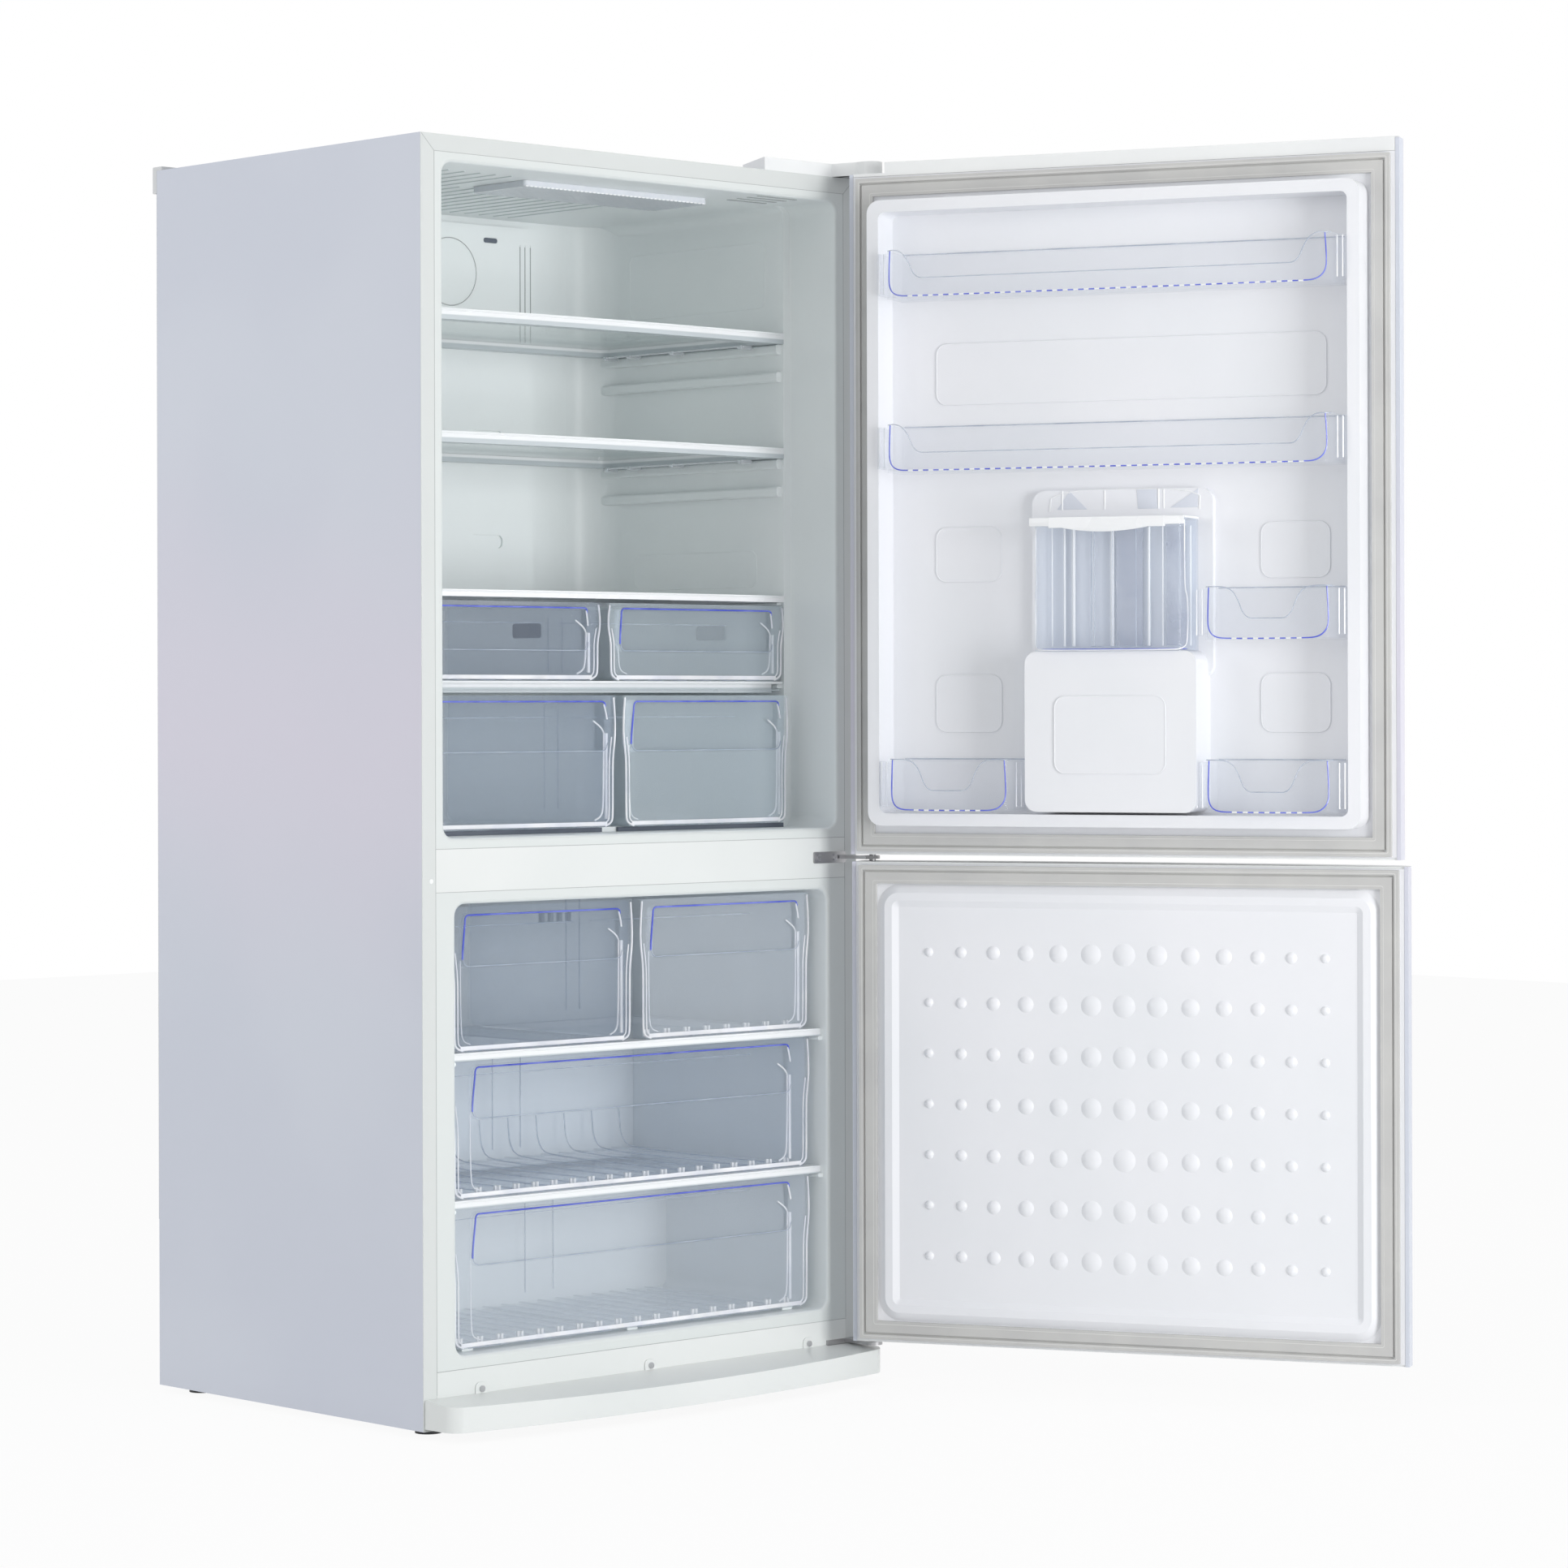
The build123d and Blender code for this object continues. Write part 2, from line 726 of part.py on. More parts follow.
def fridge_air_duct():
    """Moulded cover on the rear wall that spreads the cold air over the shelves."""
    half = 226.0
    y1 = fridge_rear_y - seat_gap
    y0 = y1 - 14
    low = fridge_floor_z + crisper_cover_height + 8
    high = fridge_ceiling_z - 12
    panel = bar_y(-half, half, y0, y1, low, high, 10)
    disc_z = high - 76
    disc = rod_y(59, y0 - 1, y0 + 1, disc_z, 53) - rod_y(59, y0 - 2, y0 + 2, disc_z, 51.5)
    panel = panel - disc - bar_y(126, 154, y0 - 1, y0 + 5, high - 27, high - 19, 3.9)
    for side in (-1, 1):
        for x in (200, 210, 221):
            panel = panel - block(side * x - 1, side * x + 1, y0 - 1, y0 + 1.2, high - 190, high - 26)
        for drop in (318, 480):
            centre = side * 130
            panel = panel - bar_y(
                centre - 33, centre + 33, y0 - 1, y0 + 4, high - drop - 20, high - drop, 8
            )
    return panel


def shelf_slab(grow, z0, z1, front_y=shelf_front, bow=shelf_bow):
    """Outline of a full-width shelf with rounded rear corners, drawn in on every side by -grow."""
    half = fridge_side - shelf_side_gap + grow
    y_end, y_back = front + front_y - grow, front + shelf_back + grow
    slab = bowed_slab(-half, half, y_end, y_end - bow, y_back, z0, z1)
    corner = fridge_rear_radius - shelf_corner_inset + grow
    return slab & bar_z(-half, half, y_end - shelf_back, y_back, z0, z1, corner)


def shelf_frames():
    """White plastic frames of the two glass shelves, with a deep front edge."""
    frames = []
    for height in (upper_shelf_height, lower_shelf_height):
        z0 = shelf_underside(height)
        z1 = z0 + shelf_thickness
        frame = shelf_slab(0, z0, z1) - shelf_slab(-14, z1 - glass_thickness - 0.6, z1 + 1)
        frame = frame - shelf_slab(-26, z0 - 1, z1 + 1)
        frames.append(frame)
    return joined(frames)


def shelf_glass():
    """Tempered glass panes set into the two shelf frames."""
    panes = []
    for height in (upper_shelf_height, lower_shelf_height):
        z1 = shelf_underside(height) + shelf_thickness - 0.3
        panes.append(shelf_slab(-14 - seat_gap, z1 - glass_thickness, z1))
    return joined(panes)


def shelf_rods():
    """Steel rods clipped under the right side of each glass shelf."""
    rods = []
    x = fridge_side - shelf_side_gap - 34
    for height in (upper_shelf_height, lower_shelf_height):
        z = shelf_underside(height) - rod_radius - seat_gap
        y0, y1 = front + 150, front + 470
        rod = rod_y(x, y0, y1, z, rod_radius)
        for y in (y0 + 6, (y0 + y1) / 2, y1 - 60, y1 - 6):
            rod = rod + bar_y(x - 4, x + 20, y - 4, y + 4, z - 4.5, z + rod_radius + 0.1, 2.4)
        rods.append(rod)
    return joined(rods)


def crisper_cover():
    """White shelf over the upper crisper drawers."""
    z0 = crisper_cover_low()
    cover = shelf_slab(0, z0, z0 + crisper_cover_thickness)
    return cover - shelf_slab(-22, z0 - 1, z0 + crisper_cover_thickness - 4)


def crisper_divider():
    """Frame between the two rows of crisper drawers."""
    z1 = divider_top()
    z0 = z1 - divider_thickness
    plate = shelf_slab(0, z1 - 4, z1, upper_crisper_front + 2, 2)
    trim = shelf_slab(-rib_depth - 2, z0, z1, upper_crisper_front + 2, 2)
    return plate + (trim - shelf_slab(-rib_depth - 14, z0 - 1, z1 + 1, upper_crisper_front + 2, 2))


# ---------------------------------------------------------------- drawers
def drawer(x0, x1, row, y_back, z0, z1, grip, ribs=False):
    """Clear drawer: a tub with a rim and a hollow finger grip across the upper front.

    row is (half width, front at the ends, front in the middle) of the arc that the row's fronts follow.
    grip is (left and right margins, gap under the rim, height).
    """
    half, y_end, y_middle = row
    y_near = min(y_end, y_middle) - 5

    def tub(inset, lift):
        section = bar_y(
            x0 + drawer_rim + inset,
            x1 - drawer_rim - inset,
            y_near,
            y_back - drawer_rim - inset,
            z0 + lift,
            z1 + 60,
            drawer_corner - inset,
        )
        plan = bowed_slab(-half, half, y_end + inset, y_middle + inset, y_back, z0, z1 + 1)
        return section & plan

    body = tub(0, 0) & block(x0, x1, y_near, y_back, z0, z1)
    hollow = tub(drawer_wall, drawer_wall)
    rim = bowed_slab(-half, half, y_end, y_middle, y_back, z1 - drawer_rim_height, z1)
    rim = rim & block(x0, x1, y_near, y_back, z0, z1)
    margin, below, height = grip
    gx0, gx1 = x0 + margin, x1 - margin
    gz1 = z1 - below
    gz0 = gz1 - height
    y_floor = max(y_end, y_middle) + grip_depth
    wall = drawer_wall
    boss = bar_y(
        gx0 - wall, gx1 + wall, y_near, y_floor + wall, gz0 - wall, gz1 + wall, grip_corner + wall
    ) & tub(0, 0)
    pocket = bar_y(gx0, gx1, y_near - 1, y_floor, gz0, gz1, grip_corner)
    shape = body + rim - hollow + boss - pocket
    if ribs:
        count = int((x1 - x0 - 2 * drawer_corner - 20) // floor_rib_pitch)
        first = (x0 + x1) / 2 - (count - 1) * floor_rib_pitch / 2
        strips = [
            block(
                first + i * floor_rib_pitch - 1.5,
                first + i * floor_rib_pitch + 1.5,
                y_floor + 22,
                y_back - drawer_rim - drawer_corner,
                z0 + wall / 2,
                z0 + wall + 3,
            )
            for i in range(count)
        ]
        shape = shape + joined(strips)
    return shape


def crisper_row(half, front_y, bow):
    """Half width and front arc of one row of crisper drawers."""
    return (half, front + front_y, front + front_y - bow)


def fridge_drawers():
    """The four crisper drawers by name."""
    upper = crisper_row(fridge_side - shelf_side_gap, upper_crisper_front, 2.0)
    lower = crisper_row(fridge_side - lower_crisper_side_gap, lower_crisper_front, crisper_bow)
    upper_z0 = divider_top() + seat_gap
    upper_z1 = crisper_cover_low() - 4 - 2 * seat_gap - 1
    lower_z0 = fridge_floor_z + crisper_runner + seat_gap
    lower_z1 = divider_top() - divider_thickness - 4
    back_y = front + crisper_drawer_back
    gap = drawer_gap / 2
    upper_grip = (27.0, 8.0, 62.0)
    lower_grip = (22.0, 9.0, 72.0)
    shapes = {}
    for name, sign in (("left", -1), ("right", 1)):
        x0, x1 = sorted((sign * gap, sign * upper[0]))
        shapes[f"upper_{name}_crisper"] = drawer(x0, x1, upper, back_y, upper_z0, upper_z1, upper_grip)
        x0, x1 = sorted((sign * gap, sign * lower[0]))
        shapes[f"lower_{name}_crisper"] = drawer(x0, x1, lower, back_y, lower_z0, lower_z1, lower_grip)
    return shapes


def freezer_drawers():
    """The four freezer drawers by name."""
    half = freezer_side - freezer_drawer_side_gap
    y = front + freezer_drawer_front
    row = (half, y, y)
    back_y = front + freezer_drawer_back
    gap = drawer_gap / 2
    upper_z0 = crossbar_top(1) + seat_gap
    upper_z1 = upper_z0 + upper_basket_height
    middle_z0 = crossbar_top(0) + seat_gap
    bottom_z0 = freezer_floor_z + freezer_runner + seat_gap
    small_grip = (26.0, 12.0, 72.0)
    wide_grip = (44.0, 9.0, 72.0)
    return {
        "upper_left_freezer_drawer": drawer(
            -half, -gap, row, back_y, upper_z0, upper_z1, small_grip
        ),
        "upper_right_freezer_drawer": drawer(
            gap, half, row, back_y, upper_z0, upper_z1, small_grip
        ),
        "middle_freezer_drawer": drawer(
            -half, half, row, back_y, middle_z0, middle_z0 + middle_basket_height, wide_grip, True
        ),
        "bottom_freezer_drawer": drawer(
            -half,
            half,
            row,
            front + bottom_drawer_back,
            bottom_z0,
            bottom_z0 + lower_basket_height,
            wide_grip,
            True,
        ),
    }


def freezer_crossbars():
    """Frames that carry the middle and the upper freezer drawers."""
    half = freezer_side - seat_gap
    bars = []
    for row in (0, 1):
        z1 = crossbar_top(row)
        z0 = z1 - crossbar_thickness
        y0, y1 = front + 16, front + freezer_drawer_back
        frame = block(-half, half, y0, y1, z0, z1)
        window = block(-half + 34, half - 34, y0 + 26, y1 - 20, z0 - 1, z1 + 1)
        frame = frame - window
        if row:
            frame = frame + block(-20, 20, y0 + 20, y1 - 10, z0, z1)
        bars.append(frame)
    return joined(bars)


# ---------------------------------------------------------------- cooling
evaporator_half = 250.0
fan_z = freezer_ceiling_z - 92.0
fan_shaft_radius = 3.0
fan_radius = 50.0
duct_cover_thickness = 8.0
duct_y = front + freezer_drawer_back + 12
motor_y0 = freezer_rear_y - 30.0
rotor_y0 = motor_y0 - 26.0


def freezer_air_duct():
    """Cover in front of the evaporator, with four air slots on each side and the return gap below."""
    low = machine_top_z + machine_insulation + 16
    high = freezer_ceiling_z - 6
    half = freezer_side - seat_gap
    panel = bar_y(-half, half, duct_y, duct_y + duct_cover_thickness, low, high, 12)
    foot_y = freezer_rear_y - seat_gap
    for side in (-1, 1):
        foot = block(side * half - 6, side * half + 6, duct_y + 1, foot_y, low + 20, high - 30)
        panel = panel + foot
    panel = panel & freezer_cavity(-seat_gap)
    for i in range(4):
        x = 166 + 18 * i
        panel = panel - block(x, x + 12, duct_y - 1, duct_y + 9, high - 52, high - 38)
        panel = panel - block(-x - 12, -x, duct_y - 1, duct_y + 9, high - 52, high - 38)
    return panel


def evaporator():
    """Finned coil behind the freezer cover: upright fins on level tubes."""
    y0, y1 = duct_y + 16, freezer_rear_y - seat_gap
    z0, z1 = machine_top_z + machine_insulation + 30, fan_z - 70
    fins = [block(x, x + 1, y0, y1, z0, z1) for x in range(-240, 241, 24)]
    tubes = []
    rows = 5
    for i in range(rows):
        z = z0 + (i + 0.5) * (z1 - z0) / rows
        tubes.append(rod_x(-evaporator_half, evaporator_half, (y0 + y1) / 2, z, 4))
    return joined(fins + tubes)


def fan_motor():
    """Small motor on the rear wall of the freezer, with a bore for the shaft."""
    y1 = freezer_rear_y - seat_gap
    body = rod_y(0, motor_y0, y1, fan_z, 22)
    legs = block(-46, 46, y1 - 4, y1, fan_z - 6, fan_z + 6)
    bore = rod_y(0, motor_y0 - 1, motor_y0 + 16, fan_z, fan_shaft_radius + running_clearance)
    return body + legs - bore


def fan_rotor():
    """Five-bladed fan on a shaft that runs in the motor."""
    hub = rod_y(0, rotor_y0, rotor_y0 + 20, fan_z, 14)
    shaft = rod_y(0, rotor_y0, motor_y0 + 14, fan_z, fan_shaft_radius)
    blades = []
    for i in range(5):
        blade = Pos(31, 0, 0) * Rot(35, 0, 0) * Box(38, 1.6, 24)
        centre = Pos(0, rotor_y0 + 10, fan_z)
        blades.append(centre * Rot(0, 72 * i, 0) * blade)
    return joined([hub, shaft] + blades)


compressor_x = 190.0
compressor_radius = 76.0
compressor_leg = 14.0
compressor_height = 168.0


def compressor():
    """Hermetic compressor: a domed pot on a foot plate with its two pipes."""
    y = (machine_front_y + back) / 2
    z0 = bottom + 2 * sheet + seat_gap
    base_z = z0 + compressor_leg
    pot_z = base_z + 3
    base = bar_z(compressor_x - 110, compressor_x + 110, y - 62, y + 62, base_z, pot_z, 12)
    pot = rod_z(compressor_x, y, pot_z, pot_z + compressor_height, compressor_radius)
    round_edges = pot.edges().filter_by(GeomType.CIRCLE).sort_by(Axis.Z)
    pot = fillet(round_edges[-1:], 34)
    legs = [
        rod_z(compressor_x + sx * 92, y + sy * 46, z0, z0 + compressor_leg, 11)
        for sx in (-1, 1)
        for sy in (-1, 1)
    ]
    pipe = rod_x(compressor_x - 112, compressor_x - 60, y + 30, pot_z + 60, 4)
    return joined([base, pot, pipe] + legs)


def drip_pan():
    """Evaporation tray that stands over the compressor on two legs of its own."""
    y = (machine_front_y + back) / 2
    pot_top = bottom + 2 * sheet + seat_gap + compressor_leg + 3 + compressor_height
    z0 = pot_top + seat_gap
    z1 = machine_top_z - pan_sheet - 10
    tray = bar_z(compressor_x - 95, compressor_x + 95, y - 80, y + 80, z0, z1, 14)
    return tray - bar_z(compressor_x - 93, compressor_x + 93, y - 78, y + 78, z0 + 2, z1 + 1, 12)


def condenser():
    """Fin-and-tube heat exchanger beside the compressor."""
    x0, x1 = left + 60, compressor_x - 150
    y0, y1 = machine_front_y + 40, back - 50
    z0, z1 = bottom + 2 * sheet + seat_gap, machine_top_z - 60
    fins = [block(x0 + 18 * i, x0 + 18 * i + 1.2, y0, y1, z0, z1) for i in range(int((x1 - x0) // 18))]
    tubes = []
    for row in range(4):
        for column in range(2):
            z = z0 + 22 + row * (z1 - z0 - 44) / 3
            y = y0 + (column + 0.5) * (y1 - y0) / 2
            tubes.append(rod_x(x0 - 12, x1, y, z, 4))
    return joined(fins + tubes)


cover_y = back - sheet
gland_x = -330.0
gland_z = bottom + 70.0
gland_bore_radius = 4.0
gland_length = 14.0
control_box_x = 350.0


def machine_cover():
    """Removable rear cover of the machine room with rows of air slots."""
    low, high = bottom + 2, machine_top_z - seat_gap
    cover = block(inside_left, inside_right, cover_y, cover_y + pan_sheet, low, high)
    slots = []
    for row in range(3):
        z = low + 95 + 42 * row
        for x in range(-280, 290, 20):
            slots.append(block(x, x + 8, back - 3, back + 1, z, z + 26))
    hole = rod_y(gland_x, back - 3, back + 1, gland_z, gland_bore_radius + 3 + seat_gap)
    return cover - joined(slots) - hole


def cord_gland():
    """Bush in the machine cover that the supply cord leaves through."""
    y1 = back + 5
    y0 = y1 - gland_length
    bush = rod_y(gland_x, y0, y1, gland_z, gland_bore_radius + 3)
    collar = rod_y(gland_x, cover_y + pan_sheet + seat_gap / 3, y1, gland_z, gland_bore_radius + 7)
    return bush + collar - rod_y(gland_x, y0 - 1, y1 + 1, gland_z, gland_bore_radius)


def control_box():
    """Plastic box with the control electronics, on the side of the machine room."""
    x1 = inside_right - 0.2
    x0 = x1 - 46
    y0, y1 = machine_front_y + 30, back - 66
    z0, z1 = bottom + 2 * sheet + seat_gap, machine_top_z - 60
    return bar_x(x0, x1, y0, y1, z0, z1, 6)


# ---------------------------------------------------------------- doors
def door_box(u0, u1, v0, v1, z0, z1, radius=None):
    """Box in a closed door. u runs from the hinge side, v from the cabinet front into the cabinet."""
    corners = (right - u1, right - u0, front + v0, front + v1, z0, z1)
    return bar_y(*corners, radius) if radius else block(*corners)


def door_prism(inset, rear_y, z0, z1):
    """Outline of a door seen from above, drawn in by inset, from its curved front to rear_y."""
    x0, x1 = left + inset, right - inset
    y0 = door_front_y + inset
    free, hinge = free_side_radius - inset, hinge_side_radius - inset
    diagonal = cos(radians(45))
    free_arc = ThreePointArc(
        (x0, y0 + free), (x0 + free * (1 - diagonal), y0 + free * (1 - diagonal)), (x0 + free, y0)
    )
    face_arc = ThreePointArc(
        (x0 + free, y0), ((x0 + free + x1 - hinge) / 2, y0 - door_bow), (x1 - hinge, y0)
    )
    hinge_arc = ThreePointArc(
        (x1 - hinge, y0), (x1 - hinge * (1 - diagonal), y0 + hinge * (1 - diagonal)), (x1, y0 + hinge)
    )
    rest = Polyline((x1, y0 + hinge), (x1, rear_y), (x0, rear_y), (x0, y0 + free))
    edges = free_arc.edges() + face_arc.edges() + hinge_arc.edges() + rest.edges()
    return extrude(Pos(0, 0, z0) * make_face(edges), amount=z1 - z0, dir=(0, 0, 1))


def hinge_notch(grow=0.0):
    """Space that the upper hinge arm needs over the corner of the fridge door."""
    return door_box(-1, hinge_notch_width + grow, -90, 1, notch_z - grow, fridge_door_high + 1)


def door_skin(z0, z1):
    """Painted steel front of a door, wrapped round both sides."""
    skin = door_prism(0, door_back_y, z0, z1) - door_prism(sheet, door_back_y + 5, z0 - 1, z1 + 1)
    lip = 6.0
    for u0 in (0, cabinet_width - lip):
        skin = skin + door_box(u0, u0 + lip, -door_gap - sheet, -door_gap, z0, z1)
    return skin


def door_cap(z0, z1):
    """Plastic end cap inside the skin, behind the front and ahead of the liner."""
    return door_prism(sheet + seat_gap, door_back_y - liner_wall - seat_gap, z0, z1)


def pin_hole(z0, z1):
    """Bore on the door axis that runs on a hinge pin."""
    return rod_z(hinge_x, hinge_y, z0, z1, hinge_pin_radius + running_clearance)


column_u0 = column_centre - column_width / 2
column_u1 = column_centre + column_width / 2
plug_low = fridge_floor_z + plug_gap
plug_high = fridge_ceiling_z - 2 * plug_gap
column_low = plug_low + dyke_width + 4
column_high = column_low + column_height - 30


def fridge_door_fill(depth):
    """All of the fridge door that lies behind the surface of its liner, less depth."""
    lip = 6.0 + seat_gap
    slab = door_box(
        lip,
        cabinet_width - lip,
        door_face_v + 1,
        -door_gap - depth,
        fridge_door_low + 3,
        fridge_door_high - 21,
    )
    outer, inner = dyke_outer_inset + depth, dyke_outer_inset + dyke_width - depth
    ring = door_box(
        outer,
        cabinet_width - outer,
        -door_gap - 20,
        dyke_depth - depth,
        plug_low + depth,
        plug_high - depth,
        plug_radius - depth,
    )
    recess = door_box(
        inner,
        cabinet_width - inner,
        -door_floor_depth - depth,
        dyke_depth + 5,
        plug_low + dyke_width - depth,
        plug_high - dyke_width + depth,
        plug_radius - dyke_width / 2 + depth,
    )
    column = door_box(
        column_u0 + depth,
        column_u1 - depth,
        -door_floor_depth - 10,
        column_front - depth,
        column_low + depth,
        column_high - depth,
        18 - depth,
    )
    backing = door_box(
        column_u0 - 8 + depth,
        column_u1 + 8 - depth,
        -door_floor_depth - 10,
        -door_floor_depth + 12 - depth,
        column_high - 40 + depth,
        column_high + tank_height + 46 - depth,
        20 - depth,
    )
    return slab + ring - recess + column + backing


def embossed_pads():
    """Faint raised panels on the floor of the fridge door liner: u0, u1 and heights over the plug."""
    pads = [(134.0, 729.0, 622.0, 712.0), (341.0, 509.0, 78.0, 190.0)]
    for u0 in (133.0, 632.0):
        pads.append((u0, u0 + 102.0, 138.0, 222.0))
        pads.append((u0, u0 + 102.0, 360.0, 440.0))
    floor_v, column_v = -door_floor_depth, column_front
    shapes = []
    for u0, u1, low, high in pads:
        v = column_v if u0 > column_u0 and u1 < column_u1 else floor_v
        shapes.append(door_box(u0, u1, v - 1, v + 1.2, plug_low + low, plug_low + high, 16))
    return joined(shapes)


def spout_hole(grow):
    """Round passage for the tank spout through the column and the niche ceiling."""
    x = right - column_centre
    y = front + spout_v
    return rod_z(x, y, column_high - 60, column_high + 12, spout_radius + grow)


def fridge_door_liner():
    """Thermoformed inside of the fridge door with its dykes and the dispenser column."""
    shell = fridge_door_fill(0) - fridge_door_fill(liner_wall)
    return shell + embossed_pads() - spout_hole(0.5)


niche_u0 = column_centre - niche_width / 2
niche_u1 = column_centre + niche_width / 2
niche_low = column_low + niche_margin
niche_high = column_high - niche_top_margin


def niche_block(grow):
    """Outside of the dispenser niche, grown by grow."""
    return door_box(
        niche_u0 - grow,
        niche_u1 + grow,
        door_face_v - 2,
        niche_end_v + grow,
        niche_low - grow,
        niche_high + grow,
        16 + grow,
    )


def fridge_door_insulation():
    """Foam core of the fridge door."""
    clear = liner_wall + seat_gap
    low, high = fridge_door_low + cap_height + seat_gap, fridge_door_high - 2 * cap_height - seat_gap
    core = fridge_door_fill(clear) & door_prism(sheet + seat_gap, front + 70, low, high)
    return core - niche_block(seat_gap) - spout_hole(1.0)


def fridge_door_skin():
    """Steel skin of the fridge door with the window of the dispenser."""
    skin = door_skin(fridge_door_low, fridge_door_high - 2) - hinge_notch(0.5)
    return skin - niche_block(seat_gap)


def fridge_door_caps():
    """Plastic caps that close the top and the bottom of the fridge door."""
    low_cap = door_cap(fridge_door_low, fridge_door_low + cap_height)
    high_cap = door_cap(fridge_door_high - 2 * cap_height, fridge_door_high)
    strip = door_box(
        6.5,
        cabinet_width - 6.5,
        -door_gap - liner_wall - 1,
        -door_gap,
        fridge_door_high - 20.5,
        fridge_door_high,
    )
    high_cap = high_cap + strip - hinge_notch()
    holes = pin_hole(fridge_door_low - 1, fridge_door_low + cap_height - 2)
    holes = holes + pin_hole(notch_z - hinge_pin_length - 4, fridge_door_high)
    return low_cap + high_cap - holes


def gasket(z0, z1):
    """Magnetic seal in a mitred frame with a bellows groove."""
    u0, u1 = gasket_inset, cabinet_width - gasket_inset
    v0, v1 = -door_gap, -door_gap + gasket_thickness
    frame = door_box(u0, u1, v0, v1, z0, z1)
    frame = frame - door_box(
        u0 + gasket_width, u1 - gasket_width, v0 - 1, v1 + 1, z0 + gasket_width, z1 - gasket_width
    )
    groove = door_box(u0 + 7, u1 - 7, v1 - 3, v1 + 1, z0 + 7, z1 - 7)
    groove = groove - door_box(u0 + 10, u1 - 10, v1 - 4, v1 + 2, z0 + 10, z1 - 10)
    return frame - groove


def front_dip(x0, x1, y0, y1, z_low, z_high):
    """Shape that cuts the dip with two S-shaped sides into the front of a balcony."""
    outline = Polygon(
        (x0 - 10, z_high + 1),
        (x0 + 4, z_high - 9),
        (x0 + dip_lean, z_low),
        (x1 - dip_lean, z_low),
        (x1 - 4, z_high - 9),
        (x1 + 10, z_high + 1),
        align=None,
    )
    rows = outline.vertices().group_by(Axis.Y)
    outline = fillet(rows[0] + rows[1], dip_corner)
    return extrude(Plane((0, y1, 0), x_dir=(1, 0, 0), z_dir=(0, -1, 0)) * outline, y1 - y0)


def balcony(u0, u1, z0, height, v_front, end_low, end_high, margin):
    """Clear door shelf: a tray with a dipped front and two hollow end brackets."""
    v0 = -door_floor_depth + seat_gap
    wall = balcony_wall
    x0, x1 = right - u1, right - u0
    y0, y1 = front + v0, front + v_front
    z1 = z0 + height

    def tray(inset, low, high):
        ahead = bar_z(x0 + inset, x1 - inset, y0 - 60, y1 - inset, low, high, 24 - inset)
        return ahead & block(x0, x1, y0 + inset, y1 + 1, low, high)

    shape = tray(0, z0, z1) - tray(wall, z0 + wall, z1 + 1)
    shape = shape - front_dip(x0 + margin, x1 - margin, y1 - 12, y1 + 2, z1 - dip_share * height, z1)
    slots = []
    count = int((x1 - x0 - 90) // 16)
    for i in range(count):
        x = (x0 + x1) / 2 + (i - (count - 1) / 2) * 16
        slots.append(block(x - 4, x + 4, y1 - 16, y1 - 8, z0 - 1, z0 + wall + 1))
    shape = shape - joined(slots)
    ends = []
    for a, b in ((u0 - end_low, u0 + wall), (u1 - wall, u1 + end_high)):
        end = door_box(a, b, v_front - 62, v_front - 18, z0 + 6, z1 - 3)
        room = door_box(a + wall, b - wall, v_front - 63, v_front - 18 - wall, z0 + 6 + wall, z1)
        ends.append(end - room)
    return joined([shape] + ends)


def door_balconies():
    """The two long and the three small balconies by name."""
    inner = dyke_outer_inset + dyke_width + seat_gap
    outer = cabinet_width - inner
    long_u0, long_u1 = inner + balcony_end, outer - balcony_end
    shapes = {}
    for name, lift in (("upper", upper_balcony_lift), ("lower", lower_balcony_lift)):
        shapes[f"{name}_long_balcony"] = balcony(
            long_u0,
            long_u1,
            fridge_floor_z + lift,
            balcony_height,
            balcony_front,
            balcony_end,
            balcony_end,
            long_dip_margin,
        )
    left_end = column_u0 - seat_gap - long_u0
    small_width = left_end - balcony_end - 4
    right_u0 = long_u1 - small_width
    gap = right_u0 - column_u1 - seat_gap
    smalls = []
    places = (
        (long_u0, long_u0 + small_width, small_balcony_lift, balcony_end, balcony_end + 4),
        (right_u0, long_u1, small_balcony_lift, gap, balcony_end),
        (right_u0, long_u1, middle_balcony_lift, gap, balcony_end),
    )
    for u0, u1, lift, end_low, end_high in places:
        smalls.append(
            balcony(
                u0,
                u1,
                fridge_floor_z + lift,
                small_balcony_height,
                small_balcony_front,
                end_low,
                end_high,
                small_dip_margin,
            )
        )
    shapes["small_balconies"] = joined(smalls)
    return shapes


tank_u0 = column_centre - tank_width / 2
tank_u1 = column_centre + tank_width / 2
tank_low = column_high + seat_gap
tank_high = tank_low + tank_height


def water_tank():
    """Clear water tank on the dispenser column, with its spout below."""
    v0 = -door_floor_depth + 12 + seat_gap
    x0, x1 = right - tank_u1, right - tank_u0
    y0, y1 = front + v0, front + tank_front
    wall = tank_wall

    def pot(inset, low, high):
        ahead = bar_z(x0 + inset, x1 - inset, y0 - 60, y1 - inset, low, high, 22 - inset)
        return ahead & block(x0, x1, y0 + inset, y1 + 1, low, high)

    x = right - column_centre
    y = front + spout_v
    spout = rod_z(x, y, column_high - 30, tank_low + wall, spout_radius)
    body = pot(0, tank_low, tank_high) - pot(wall, tank_low + wall, tank_high + 1)
    return body + spout - rod_z(x, y, column_high - 31, tank_low + wall + 1, spout_radius - 2.5)


